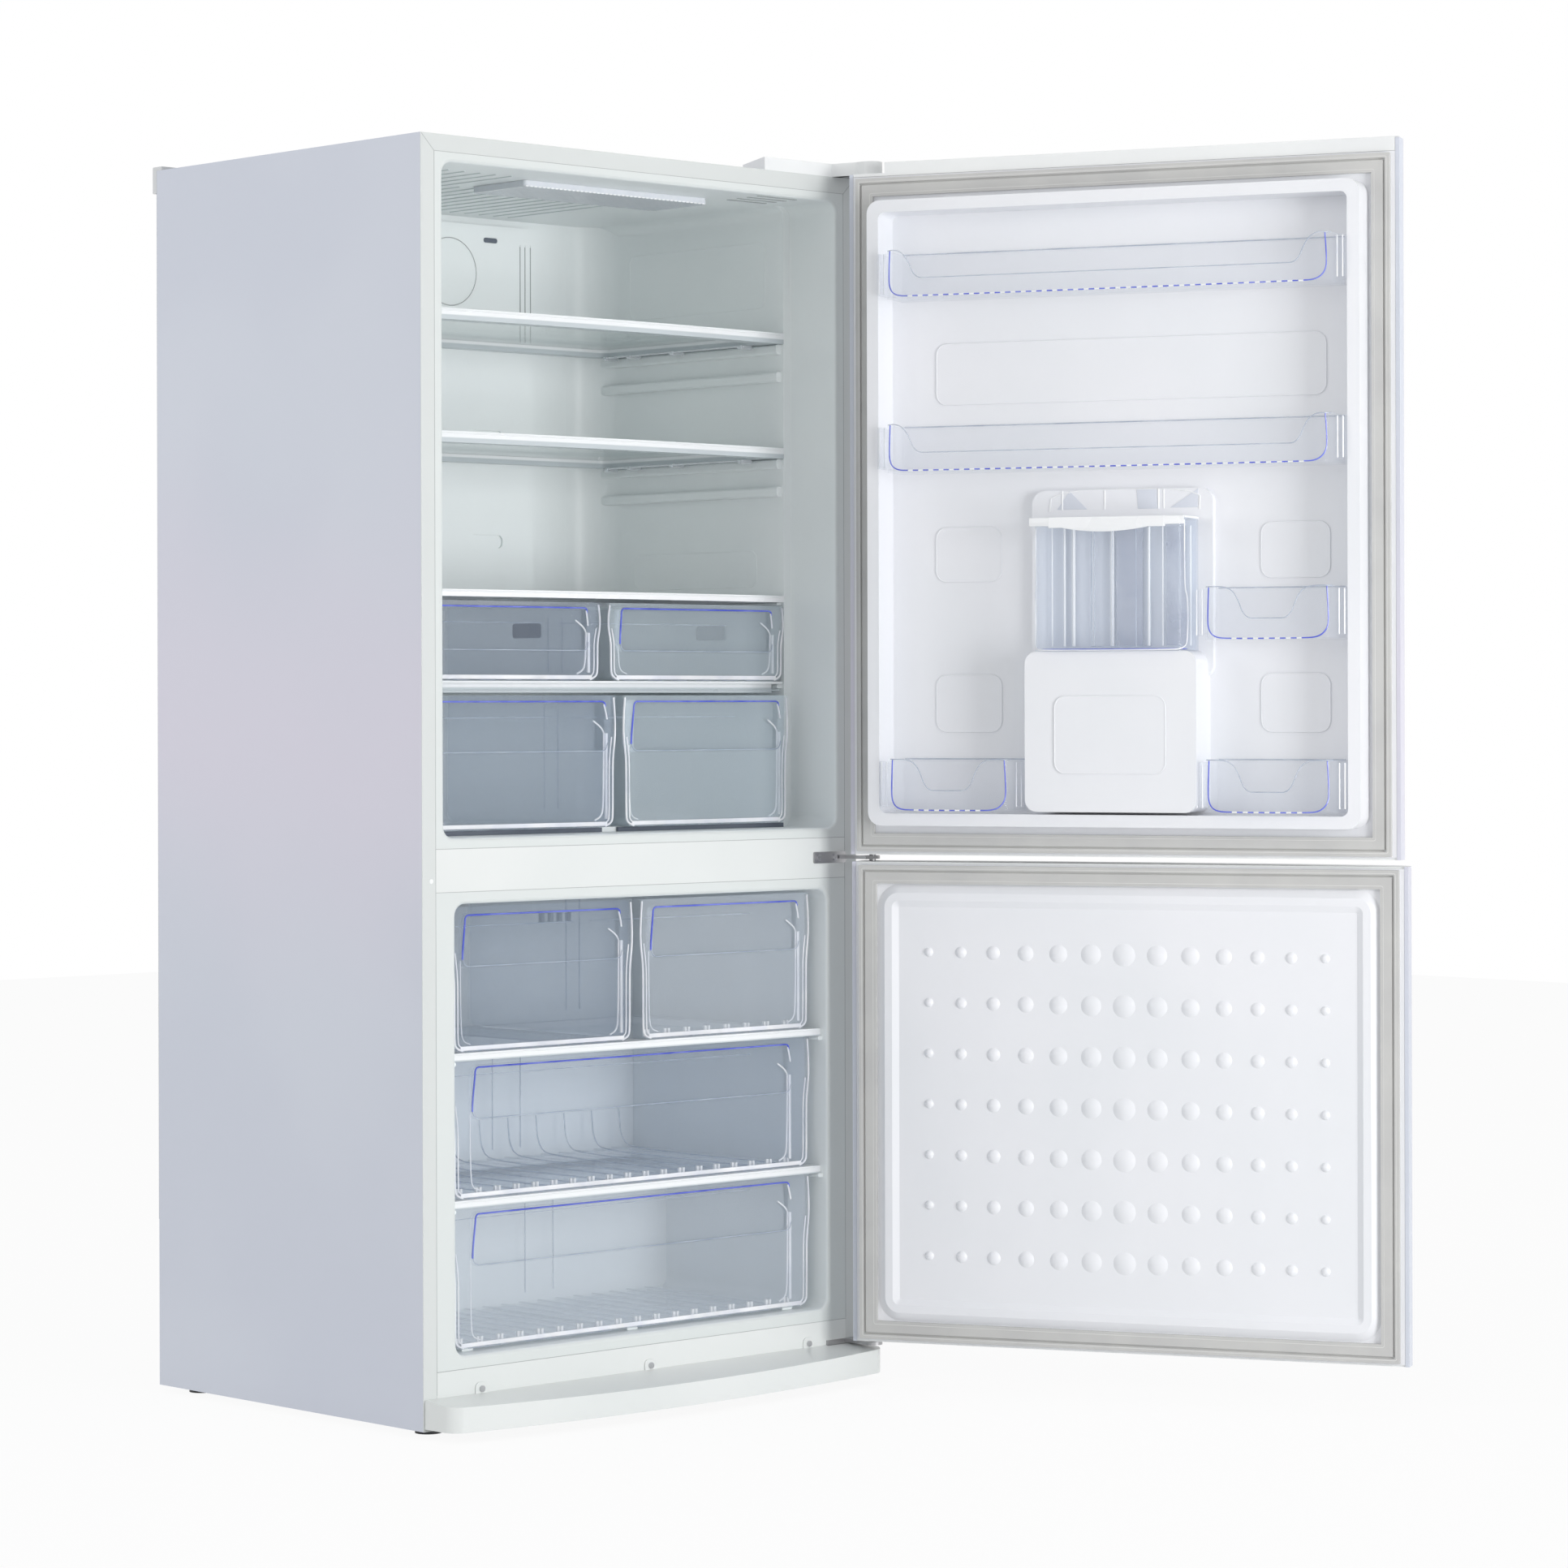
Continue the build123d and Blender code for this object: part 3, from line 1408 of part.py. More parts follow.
def tank_lid():
    """White lid of the water tank with a bowed front edge, hinged along its rear edge."""
    v0 = -door_floor_depth + 12 + seat_gap + lid_hinge_gap
    x0, x1 = right - tank_u1 - 2, right - tank_u0 + 2
    y0, y1 = front + v0, front + tank_front + 3
    z0 = tank_high + seat_gap
    lid = bowed_slab(-x1, -x0, -y1, -y1 - 4, -y0, z0, z0 + lid_thickness)
    lid = Rot(0, 0, 180) * lid
    bead = rod_x(x0, x1, y0, z0 + lid_thickness / 2, lid_thickness / 2)
    lip = bar_z(x0 + 30, x1 - 30, y1 - 2.4, y1 + 3.5, z0 - 12, z0 + lid_thickness, 1.4)
    return lid + bead + lip


lever_u0 = column_centre - lever_width / 2
lever_u1 = column_centre + lever_width / 2
lever_v = 18.0
lever_z = niche_high - niche_wall - 14.0
ear_thickness = 4.0


def dispenser_niche():
    """Plastic recess in the outside of the fridge door, with two ears for the lever."""
    box = niche_block(0)
    room = door_box(
        niche_u0 + niche_wall,
        niche_u1 - niche_wall,
        door_face_v - 3,
        niche_end_v - niche_wall,
        niche_low + niche_wall,
        niche_high - niche_wall,
        14,
    )
    low, high = niche_low - niche_border, niche_high + niche_border
    frame = door_box(
        niche_u0 - niche_border, niche_u1 + niche_border, door_face_v - 2, door_face_v + 6, low, high, 20
    )
    frame = frame - door_prism(-seat_gap / 3, door_back_y, low - 1, high + 1)
    shape = box + frame - room
    bore = lever_pin_radius + running_clearance
    ear_hole = rod_x(right - lever_u1 - 9, right - lever_u0 + 9, front + lever_v, lever_z, bore)
    for u0 in (lever_u0 - 1 - ear_thickness, lever_u1 + 1):
        ear = door_box(
            u0, u0 + ear_thickness, lever_v - 8, lever_v + 8, lever_z - 8, niche_high - niche_wall / 2
        )
        shape = shape + ear
    floor = niche_low + niche_wall
    grille = door_box(niche_u0 + 24, niche_u1 - 24, -48, 14, floor - 1, floor + 4)
    cuts = []
    for i in range(12):
        u = niche_u0 + 32 + 12 * i
        cuts.append(door_box(u, u + 4, -42, 8, floor, floor + 5))
    return shape + (grille - joined(cuts)) - ear_hole - spout_hole(0.5)


def dispenser_lever():
    """Paddle that a glass pushes back to draw water."""
    y = front + lever_v
    knuckle = rod_x(right - lever_u1, right - lever_u0, y, lever_z, 5)
    pin = rod_x(right - lever_u1 - 4, right - lever_u0 + 4, y, lever_z, lever_pin_radius)
    plate = block(
        right - lever_u1, right - lever_u0, y - 3, y + 1, lever_z - lever_length, lever_z
    )
    low = lever_z - lever_length
    pad = bar_z(right - lever_u1 - 4, right - lever_u0 + 4, y - 5, y + 1, low, lever_z - 40, 2.5)
    return knuckle + pin + plate + pad


freezer_plug_v = freezer_plug_height - door_gap
freezer_plug_inset = gasket_inset + gasket_width + 1
freezer_plug_low = freezer_door_low + seal_end_inset + gasket_width + 1
freezer_plug_high = freezer_door_high - seal_end_inset - gasket_width - 1


def freezer_pad(inset, v0, v1):
    """Rounded block across the freezer door, drawn in by inset from the foot of its raised panel."""
    return door_box(
        freezer_plug_inset + inset,
        cabinet_width - freezer_plug_inset - inset,
        v0,
        v1,
        freezer_plug_low + inset,
        freezer_plug_high - inset,
        plug_radius + 15 - inset,
    )


def freezer_door_fill(depth):
    """All of the freezer door that lies behind the surface of its liner, less depth."""
    lip = 6.0 + seat_gap
    slab = door_box(
        lip,
        cabinet_width - lip,
        door_face_v + 1,
        -door_gap - depth,
        freezer_door_low + 3,
        freezer_door_high - 3,
    )
    plug = freezer_pad(depth, -door_gap - 20, freezer_plug_v - depth)
    top_face = plug.faces().sort_by(Axis.Y)[-1]
    plug = chamfer(top_face.edges(), freezer_plug_slope, freezer_plug_height - 0.1, reference=top_face)
    edge = freezer_plug_slope + freezer_panel_border - depth
    recess = freezer_pad(edge, freezer_plug_v - freezer_panel_recess - depth, freezer_plug_v + 5)
    floor_face = recess.faces().sort_by(Axis.Y)[0]
    recess = chamfer(
        floor_face.edges(), freezer_panel_slope, freezer_panel_recess, reference=floor_face
    )
    return slab + plug - recess


def freezer_domes():
    """Round bosses in rows on the freezer door liner, widest in the middle columns."""
    middle_z = (freezer_floor_z + freezer_ceiling_z) / 2
    base_v = freezer_plug_v - freezer_panel_recess
    middle = (dome_columns - 1) / 2
    domes = []
    for i in range(dome_columns):
        share = abs(i - middle) / middle
        radius = dome_large_radius - (dome_large_radius - dome_small_radius) * share
        ball = (radius**2 + dome_height**2) / (2 * dome_height)
        for j in range(dome_rows):
            x = (i - middle) * dome_pitch_x
            z = middle_z + (j - (dome_rows - 1) / 2) * dome_pitch_z
            domes.append(Pos(x, front + base_v + dome_height - ball, z) * Sphere(ball))
    field = freezer_plug_slope + freezer_panel_border + freezer_panel_slope
    slab = freezer_pad(field, base_v - 1, base_v + dome_height + 1)
    return [slab & dome for dome in domes]


def freezer_door_liner():
    """Thermoformed inside of the freezer door with its field of domes."""
    shell = freezer_door_fill(0) - freezer_door_fill(liner_wall)
    return shell.fuse(*freezer_domes())


def freezer_door_insulation():
    """Foam core of the freezer door."""
    clear = liner_wall + seat_gap
    low, high = freezer_door_low + cap_height + seat_gap, freezer_door_high - cap_height - seat_gap
    return freezer_door_fill(clear) & door_prism(sheet + seat_gap, front + 70, low, high)


def freezer_door_caps():
    """Plastic caps that close the top and the bottom of the freezer door."""
    low_cap = door_cap(freezer_door_low, freezer_door_low + cap_height)
    high_cap = door_cap(freezer_door_high - cap_height, freezer_door_high)
    holes = pin_hole(freezer_door_low - 1, freezer_door_low + cap_height - 1)
    holes = holes + pin_hole(freezer_door_high - cap_height + 1, freezer_door_high + 1)
    return low_cap + high_cap - holes


# ---------------------------------------------------------------- the assembly
cabinet_nodes = {
    "cabinet_shell": cabinet_shell,
    "back_panel": back_panel,
    "base_pan": base_pan,
    "compressor_tray": compressor_tray,
    "cabinet_insulation": cabinet_insulation,
    "fridge_liner": fridge_liner,
    "freezer_liner": freezer_liner,
    "mullion_cover": mullion_cover,
    "front_rail": front_rail,
    "kick_plate": kick_plate,
    "levelling_feet": levelling_feet,
    "top_hinge_bracket": top_hinge_bracket,
    "middle_hinge_bracket": middle_hinge_bracket,
    "bottom_hinge_bracket": bottom_hinge_bracket,
    "top_hinge_cover": top_hinge_cover,
    "case_screws": all_screws,
    "rear_top_trim": rear_top_trim,
    "cabin_lamp": cabin_lamp,
    "fridge_air_duct": fridge_air_duct,
    "shelf_frames": shelf_frames,
    "shelf_glass": shelf_glass,
    "shelf_rods": shelf_rods,
    "crisper_cover": crisper_cover,
    "crisper_divider": crisper_divider,
    "freezer_crossbars": freezer_crossbars,
    "freezer_air_duct": freezer_air_duct,
    "evaporator": evaporator,
    "fan_motor": fan_motor,
    "fan_rotor": fan_rotor,
    "compressor": compressor,
    "drip_pan": drip_pan,
    "condenser": condenser,
    "machine_cover": machine_cover,
    "cord_gland": cord_gland,
    "control_box": control_box,
}

fridge_door_nodes = {
    "fridge_door_skin": fridge_door_skin,
    "fridge_door_liner": fridge_door_liner,
    "fridge_door_insulation": fridge_door_insulation,
    "fridge_door_caps": fridge_door_caps,
    "water_tank": water_tank,
    "tank_lid": tank_lid,
    "dispenser_niche": dispenser_niche,
    "dispenser_lever": dispenser_lever,
}

freezer_door_nodes = {
    "freezer_door_liner": freezer_door_liner,
    "freezer_door_insulation": freezer_door_insulation,
    "freezer_door_caps": freezer_door_caps,
}


def assembly():
    """Every node of the refrigerator at rest, by name."""
    nodes = {name: make() for name, make in cabinet_nodes.items()}
    nodes.update(fridge_drawers())
    nodes.update(freezer_drawers())
    fridge_door = {name: make() for name, make in fridge_door_nodes.items()}
    fridge_door.update(door_balconies())
    fridge_door["fridge_door_gasket"] = gasket(fridge_door_low + seal_end_inset, fridge_door_high - 24)
    freezer_door = {name: make() for name, make in freezer_door_nodes.items()}
    freezer_door["freezer_door_skin"] = door_skin(freezer_door_low, freezer_door_high)
    freezer_door["freezer_door_gasket"] = gasket(
        freezer_door_low + seal_end_inset, freezer_door_high - seal_end_inset
    )
    nodes.update({name: opened(shape, fridge_door_angle) for name, shape in fridge_door.items()})
    nodes.update({name: opened(shape, freezer_door_angle) for name, shape in freezer_door.items()})
    return nodes


os.makedirs("parts", exist_ok=True)
for node_name, node_shape in assembly().items():
    export_step(node_shape, f"parts/{node_name}.step")
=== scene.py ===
"""Looks of the bottom freezer refrigerator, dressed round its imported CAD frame.

Lengths are in millimetres, apart from those that say metres, and a piece is scaled
to metres when it is finished. The front looks along -Y and the hinges are on the +X
side. On a door, u runs from the hinge side and v into the shut cabin.
"""

import logging
import math
from dataclasses import dataclass, field
from enum import StrEnum
from typing import Iterable, Optional, Sequence

import bmesh
import bpy
from mathutils import Matrix, Vector
from mathutils.bvhtree import BVHTree


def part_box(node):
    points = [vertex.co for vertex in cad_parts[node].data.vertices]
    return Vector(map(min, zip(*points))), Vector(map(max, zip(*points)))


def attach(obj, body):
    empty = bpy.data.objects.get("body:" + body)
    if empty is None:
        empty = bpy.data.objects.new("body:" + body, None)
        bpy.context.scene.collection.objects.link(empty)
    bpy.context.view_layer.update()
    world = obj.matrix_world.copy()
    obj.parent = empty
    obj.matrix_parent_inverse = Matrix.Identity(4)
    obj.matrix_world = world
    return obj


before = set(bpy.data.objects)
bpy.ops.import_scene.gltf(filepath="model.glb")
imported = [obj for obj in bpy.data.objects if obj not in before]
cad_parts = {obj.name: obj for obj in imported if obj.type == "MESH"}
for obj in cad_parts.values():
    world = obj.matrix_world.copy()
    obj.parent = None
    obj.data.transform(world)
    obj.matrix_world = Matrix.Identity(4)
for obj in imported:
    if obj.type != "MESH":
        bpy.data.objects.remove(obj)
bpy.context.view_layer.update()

log = logging.getLogger("refrigerator")

MM = 0.001
CLEAR_LAYERS = 40
FRIDGE_DOOR_OPEN = 114.0
FREEZER_DOOR_OPEN = 116.5
RIGHT = Vector((1.0, 0.0, 0.0))
BACK = Vector((0.0, 1.0, 0.0))
UP = Vector((0.0, 0.0, 1.0))
WHITE = (1.0, 1.0, 1.0, 1.0)

Colour = tuple[float, float, float, float]
Corners = list[tuple[float, float]]
Path = list[Vector]
Bead = tuple[Path, float]
Plate = tuple[Path, Vector]


def srgb(red: int, green: int, blue: int) -> Colour:
    """Turns a colour as seen on a screen into linear values.

    Args:
        red: Red from 0 to 255.
        green: Green from 0 to 255.
        blue: Blue from 0 to 255.

    Returns:
        The linear colour with an alpha of one.
    """

    def channel(value: int) -> float:
        """Turns one channel into its linear value.

        Args:
            value: The channel from 0 to 255.

        Returns:
            The linear value from 0 to 1.
        """
        share = value / 255.0
        return share / 12.92 if share <= 0.04045 else ((share + 0.055) / 1.055) ** 2.4

    return channel(red), channel(green), channel(blue), 1.0


def spread(start: float, end: float, count: int) -> list[float]:
    """Evenly spaced values.

    Args:
        start: The first value.
        end: The last value.
        count: How many there are.

    Returns:
        The values, with both ends among them.
    """
    return [start + (end - start) * i / (count - 1) for i in range(count)]


def rounded(low: tuple[float, float], high: tuple[float, float], radius: float) -> Corners:
    """Outline of a rectangle with round corners.

    Args:
        low: Its lower left corner.
        high: Its upper right corner.
        radius: Radius of all four corners.

    Returns:
        The points of the outline, anticlockwise, with six points to a corner.
    """
    centres = (
        (high[0] - radius, high[1] - radius, 0.0),
        (low[0] + radius, high[1] - radius, 90.0),
        (low[0] + radius, low[1] + radius, 180.0),
        (high[0] - radius, low[1] + radius, 270.0),
    )
    points = []
    for a, b, start in centres:
        for turn in spread(start, start + 90.0, 6):
            angle = math.radians(turn)
            points.append((a + radius * math.cos(angle), b + radius * math.sin(angle)))
    return points


def front_circle(x: float, y: float, z: float, radius: float, steps: int) -> Path:
    """Circle that looks to the front.

    Args:
        x: Place of its centre across the cabinet.
        y: Its depth.
        z: Height of its centre.
        radius: Its radius.
        steps: How many points it has.

    Returns:
        The points of the circle.
    """
    angles = (math.tau * i / steps for i in range(steps))
    return [Vector((x + radius * math.cos(a), y, z + radius * math.sin(a))) for a in angles]


def smooth(points: Sequence[Sequence[float]], rounds: int = 2) -> list[tuple[float, ...]]:
    """Rounds the corners of an open path by cutting them again and again.

    Args:
        points: Corner points of any dimension.
        rounds: How many times the corners are cut.

    Returns:
        The points of the rounded path, with both ends kept.
    """
    path = [tuple(p) for p in points]
    for _ in range(rounds):
        cut = [path[0]]
        for first, second in zip(path, path[1:]):
            cut.append(tuple(0.75 * a + 0.25 * b for a, b in zip(first, second)))
            cut.append(tuple(0.25 * a + 0.75 * b for a, b in zip(first, second)))
        cut.append(path[-1])
        path = cut
    return path


class Body(StrEnum):
    """Names of the bodies that the added pieces ride on, apart from the drawers."""

    CABINET = "cabinet"
    FRIDGE_DOOR = "fridge_door"
    FREEZER_DOOR = "freezer_door"
    TANK_FLAP = "tank_flap"


class Slot(StrEnum):
    """Names of material slots of the record, passed along with the added pieces but not set on them."""

    CLEAR = "clear_plastic"
    DARK = "dark_plastic"
    FRONT = "front_paint"
    LENS = "lamp_lens"
    LINER = "white_liner"
    SEAL = "seal_rubber"
    TRIM = "white_trim"


class Graph:
    """A node tree, with one way of adding a node to it."""

    def __init__(self, tree: bpy.types.NodeTree) -> None:
        """Keeps the tree that the nodes go into."""
        self.tree = tree

    def node(
        self,
        kind: str,
        settings: Optional[dict[str, object]] = None,
        values: Optional[dict[object, object]] = None,
    ) -> bpy.types.Node:
        """Adds a node.

        Args:
            kind: Type name of the node, without its ShaderNode prefix.
            settings: Attributes of the node by name.
            values: Inputs by name or number. An Expr or a socket is linked, anything else is set.

        Returns:
            The new node.
        """
        made = self.tree.nodes.new("ShaderNode" + kind)
        for name, value in (settings or {}).items():
            setattr(made, name, value)
        for key, value in (values or {}).items():
            self.feed(made.inputs[key], value)
        return made

    def feed(self, socket: bpy.types.NodeSocket, value: object) -> None:
        """Links an Expr or a socket to an input, or sets it to a plain value.

        Args:
            socket: The input.
            value: An Expr, a socket, a number, a colour or a vector.
        """
        if isinstance(value, Expr):
            value = value.socket
        if isinstance(value, bpy.types.NodeSocket):
            self.tree.links.new(value, socket)
        else:
            socket.default_value = value

    def find(self, kind: str) -> bpy.types.Node:
        """First node of a type, given in Blender's word for it, such as BSDF_PRINCIPLED."""
        return next(n for n in self.tree.nodes if n.type == kind)


class Expr:
    """A socket of a node tree that takes part in plain Python arithmetic."""

    def __init__(self, graph: Graph, socket: bpy.types.NodeSocket) -> None:
        """Keeps the socket and the tree that it is in."""
        self.graph = graph
        self.socket = socket

    def _math(self, operation: str, first: object, second: object) -> "Expr":
        """Adds a Math node.

        Args:
            operation: Blender's word for what it works out.
            first: Its first value.
            second: Its second value.

        Returns:
            The node's result.
        """
        made = self.graph.node("Math", {"operation": operation}, {0: first, 1: second})
        return Expr(self.graph, made.outputs[0])

    def __add__(self, other: object) -> "Expr":
        """This value plus another."""
        return self._math("ADD", self, other)

    def __radd__(self, other: object) -> "Expr":
        """Another value plus this one."""
        return self._math("ADD", other, self)

    def __sub__(self, other: object) -> "Expr":
        """This value less another."""
        return self._math("SUBTRACT", self, other)

    def __rsub__(self, other: object) -> "Expr":
        """Another value less this one."""
        return self._math("SUBTRACT", other, self)

    def __mul__(self, other: object) -> "Expr":
        """This value times another."""
        return self._math("MULTIPLY", self, other)

    def __rmul__(self, other: object) -> "Expr":
        """Another value times this one."""
        return self._math("MULTIPLY", other, self)

    def __pow__(self, other: object) -> "Expr":
        """This value to the power of another."""
        return self._math("POWER", self, other)

    def __rpow__(self, other: object) -> "Expr":
        """Another value to the power of this one."""
        return self._math("POWER", other, self)

    def ramp(self, low: float, high: float, start: float = 0.0, end: float = 1.0) -> "Expr":
        """Maps low..high smoothly onto start..end, held outside it.

        Args:
            low: Value that gives start.
            high: Value that gives end.
            start: Result at and under low.
            end: Result at and over high.

        Returns:
            The mapped value.
        """
        values = {"Value": self, "From Min": low, "From Max": high, "To Min": start, "To Max": end}
        made = self.graph.node("MapRange", {"interpolation_type": "SMOOTHSTEP"}, values)
        return Expr(self.graph, made.outputs["Result"])


class Finish(Graph):
    """One procedural material, written as expressions."""

    def __init__(self, name: str) -> None:
        """Starts an empty material.

        Args:
            name: Name of the material.
        """
        self.material = bpy.data.materials.new(name)
        self.material.use_nodes = True
        super().__init__(self.material.node_tree)
        self.shader = self.find("BSDF_PRINCIPLED")
        self.place = self.node("TexCoord").outputs["Object"]

    def noise(
        self, per_metre: float, detail: float = 3.0, stretch: Sequence[float] = (1.0, 1.0, 1.0)
    ) -> Expr:
        """Soft noise over the surface.

        Args:
            per_metre: Cycles per metre.
            detail: How many finer layers it has.
            stretch: Factor on the cycles along each axis.

        Returns:
            A value round 0.5.
        """
        scale = [per_metre * s for s in stretch]
        spot = self.node("Mapping", values={"Vector": self.place, "Scale": scale})
        values = {"Vector": spot.outputs["Vector"], "Scale": 1.0, "Detail": detail}
        return Expr(self, self.node("TexNoise", values=values).outputs["Fac"])

    def axis(self, index: int) -> Expr:
        """One coordinate of the surface point in metres: 0 for x, 1 for y and 2 for z."""
        return Expr(self, self.node("SeparateXYZ", values={0: self.place}).outputs[index])

    def facing(self, blend: float) -> Expr:
        """0 where the surface is face on and 1 where it is edge on, sooner with a higher blend."""
        return Expr(self, self.node("LayerWeight", values={"Blend": blend}).outputs["Facing"])

    def between(self, share: Expr, first: object, second: object) -> Expr:
        """Colour that runs from first to second.

        Args:
            share: 0 for first and 1 for second.
            first: A colour or an expression.
            second: Another one.

        Returns:
            The mixed colour.
        """
        made = self.node("Mix", {"data_type": "RGBA"}, {0: share, 6: first, 7: second})
        return Expr(self, made.outputs[2])

    def set(self, **values: object) -> None:
        """Sets inputs of the shader by name.

        Args:
            values: Numbers, colours or expressions, with underscores for spaces in their names.
        """
        for name, value in values.items():
            self.feed(self.shader.inputs[name.replace("_", " ")], value)

    def bump(self, height: Expr, depth_mm: float, strength: float) -> None:
        """Raises the surface.

        Args:
            height: Value from 0 to 1.
            depth_mm: Height of a value of 1.
            strength: Share of the effect.
        """
        values = {"Strength": strength, "Distance": depth_mm * MM, "Height": height}
        self.set(Normal=Expr(self, self.node("Bump", values=values).outputs["Normal"]))


@dataclass(frozen=True)
class Coating:
    """What a finish is called, and how its material is mixed."""

    name: str

    def make(self) -> Finish:
        """Makes the finish.

        Returns:
            The finish with its material.
        """
        finish = Finish(self.name)
        self.mix(finish)
        return finish

    def mix(self, f: Finish) -> None:
        """Leaves the material as it is, for each coating to say its own."""


@dataclass(frozen=True)
class TwoTone(Coating):
    """Coating that runs between two near tones."""

    low: Colour
    high: Colour


@dataclass(frozen=True)
class Paint(TwoTone):
    """Baked paint on sheet steel, with orange peel and slow shade changes."""

    rough: float
    peel: float = 0.35

    def tone(self, f: Finish) -> Expr:
        """Colour over the sheet."""
        return f.between(f.noise(2.2, 2.0).ramp(0.35, 0.65), self.low, self.high)

    def mix(self, f: Finish) -> None:
        """Mixes the material into an empty finish.

        Args:
            f: The finish.
        """
        f.set(Base_Color=self.tone(f))
        f.set(Roughness=f.noise(9.0, 2.0) * 0.08 + (self.rough - 0.04))
        f.set(Coat_Weight=0.25, Coat_Roughness=0.12)
        f.bump(f.noise(420.0, 2.0), 0.05, self.peel)


@dataclass(frozen=True)
class SidePaint(Paint):
    """Pale lavender paint of the side panels, a little warmer at half height."""

    warm: Colour = srgb(214, 212, 225)
    flange: Optional[Colour] = None

    def tone(self, f: Finish) -> Expr:
        """Colour over the panel, and over its folded front flange if that has its own.

        Args:
            f: The finish.

        Returns:
            The colour.
        """
        height = f.axis(2) + f.noise(1.6, 2.0) * 0.5
        warmth = height.ramp(0.75, 1.25) * (1.0 - height.ramp(1.25, 1.75))
        tone = f.between(warmth, super().tone(f), self.warm)
        if self.flange is None:
            return tone
        return f.between(1.0 - f.axis(1).ramp(-0.3098, -0.3085), tone, self.flange)


@dataclass(frozen=True)
class Moulded(TwoTone):
    """Moulded or drawn plastic with a faint grain."""

    rough: float

    def tone(self, f: Finish) -> Expr:
        """Colour over the plastic."""
        return f.between(f.noise(3.5, 2.0).ramp(0.3, 0.7), self.low, self.high)

    def mix(self, f: Finish) -> None:
        """Mixes the material into an empty finish.

        Args:
            f: The finish.
        """
        f.set(Base_Color=self.tone(f), Specular_IOR_Level=0.45)
        f.set(Roughness=f.noise(14.0, 2.0) * 0.1 + (self.rough - 0.05))
        f.bump(f.noise(900.0, 2.0), 0.03, 0.25)


@dataclass(frozen=True)
class LinerSheet(Moulded):
    """Vacuum formed liner, with the front lip in the tone of the painted frame."""

    lip: Colour = srgb(218, 223, 222)

    def tone(self, f: Finish) -> Expr:
        """Colour of the liner and its lip."""
        return f.between(1.0 - f.axis(1).ramp(-0.3095, -0.3055), super().tone(f), self.lip)


@dataclass(frozen=True)
class RailPlastic(Moulded):
    """Plastic of shelf fronts and cross bars, with a band of painted shade under each top, where the nose
    turns under.
    """

    tops: tuple[float, ...] = (1.578, 1.404, 1.05, 0.5282, 0.3221)

    def tone(self, f: Finish) -> Expr:
        """Colour over the rail, with a band of painted shade under each top height in metres.

        Args:
            f: The finish.

        Returns:
            The colour.
        """
        height = f.axis(2)
        shade_bands = []
        for top in self.tops:
            below = 1.0 - height.ramp(top - 0.0105, top - 0.008)
            shade_bands.append(height.ramp(top - 0.03, top - 0.026) * below)
        return f.between(sum(shade_bands[1:], shade_bands[0]), self.low, self.high)


@dataclass(frozen=True)
class Steel(Coating):
    """Drawn or stamped metal with fine marks along one axis."""

    tone: Colour
    rough: float
    metallic: float = 1.0
    stretch: tuple[float, float, float] = (0.05, 1.0, 1.0)

    def mix(self, f: Finish) -> None:
        """Mixes the material into an empty finish.

        Args:
            f: The finish.
        """
        marks = f.noise(900.0, 2.0, self.stretch)
        f.set(Base_Color=self.tone, Metallic=self.metallic)
        f.set(Roughness=marks * 0.16 + (self.rough - 0.06))
        f.bump(marks, 0.02, 0.4)


@dataclass(frozen=True)
class SealVinyl(TwoTone):
    """Soft vinyl of the door seals."""

    def mix(self, f: Finish) -> None:
        """Mixes the material into an empty finish.

        Args:
            f: The finish.
        """
        f.set(Base_Color=f.between(f.noise(12.0).ramp(0.3, 0.7), self.low, self.high))
        f.set(Roughness=f.noise(40.0) * 0.12 + 0.5)
        f.bump(f.noise(700.0), 0.04, 0.3)


@dataclass(frozen=True)
class ClearPlate(Coating):
    """Clear plate that is nearly invisible face on and denser where it turns away."""

    tint: Colour
    thin: float
    edge: float

    def mix(self, f: Finish) -> None:
        """Mixes the material into an empty finish.

        Args:
            f: The finish.
        """
        f.set(Base_Color=self.tint, Roughness=f.noise(30.0) * 0.04 + 0.03, IOR=1.5)
        f.set(Alpha=f.facing(0.35) ** 3.0 * self.edge + self.thin)
        f.bump(f.noise(8.0, 1.0), 0.25, 0.25)


@dataclass(frozen=True)
class ClearRim(TwoTone):
    """Dense clear plastic along the edge of a clear plate: its own tint in the blue and grey copies, a
    painted highlight in the near-white copy and painted shade in the tank's copy.
    """

    dense: float

    def mix(self, f: Finish) -> None:
        """Mixes the material into an empty finish.

        Args:
            f: The finish.
        """
        f.set(Base_Color=f.between(f.noise(24.0).ramp(0.35, 0.65), self.low, self.high))
        f.set(Roughness=f.noise(50.0) * 0.1 + 0.1)
        f.set(Alpha=f.noise(9.0).ramp(0.3, 0.6, self.dense - 0.25, self.dense))
        f.bump(f.noise(300.0), 0.05, 0.3)


@dataclass(frozen=True)
class LampLens(TwoTone):
    """Frosted lens of the cabin lamp."""

    def mix(self, f: Finish) -> None:
        """Mixes the material into an empty finish.

        Args:
            f: The finish.
        """
        f.set(Base_Color=f.between(f.noise(60.0), self.low, self.high), Roughness=0.2, Alpha=0.85)
        f.bump(f.noise(300.0), 0.1, 0.4)


@dataclass(frozen=True)
class CutFoam(TwoTone):
    """Cut face of closed-cell foam."""

    def mix(self, f: Finish) -> None:
        """Mixes the material into an empty finish.

        Args:
            f: The finish.
        """
        f.set(Base_Color=f.between(f.noise(260.0), self.low, self.high), Roughness=0.9)
        f.bump(f.noise(900.0), 0.4, 0.8)


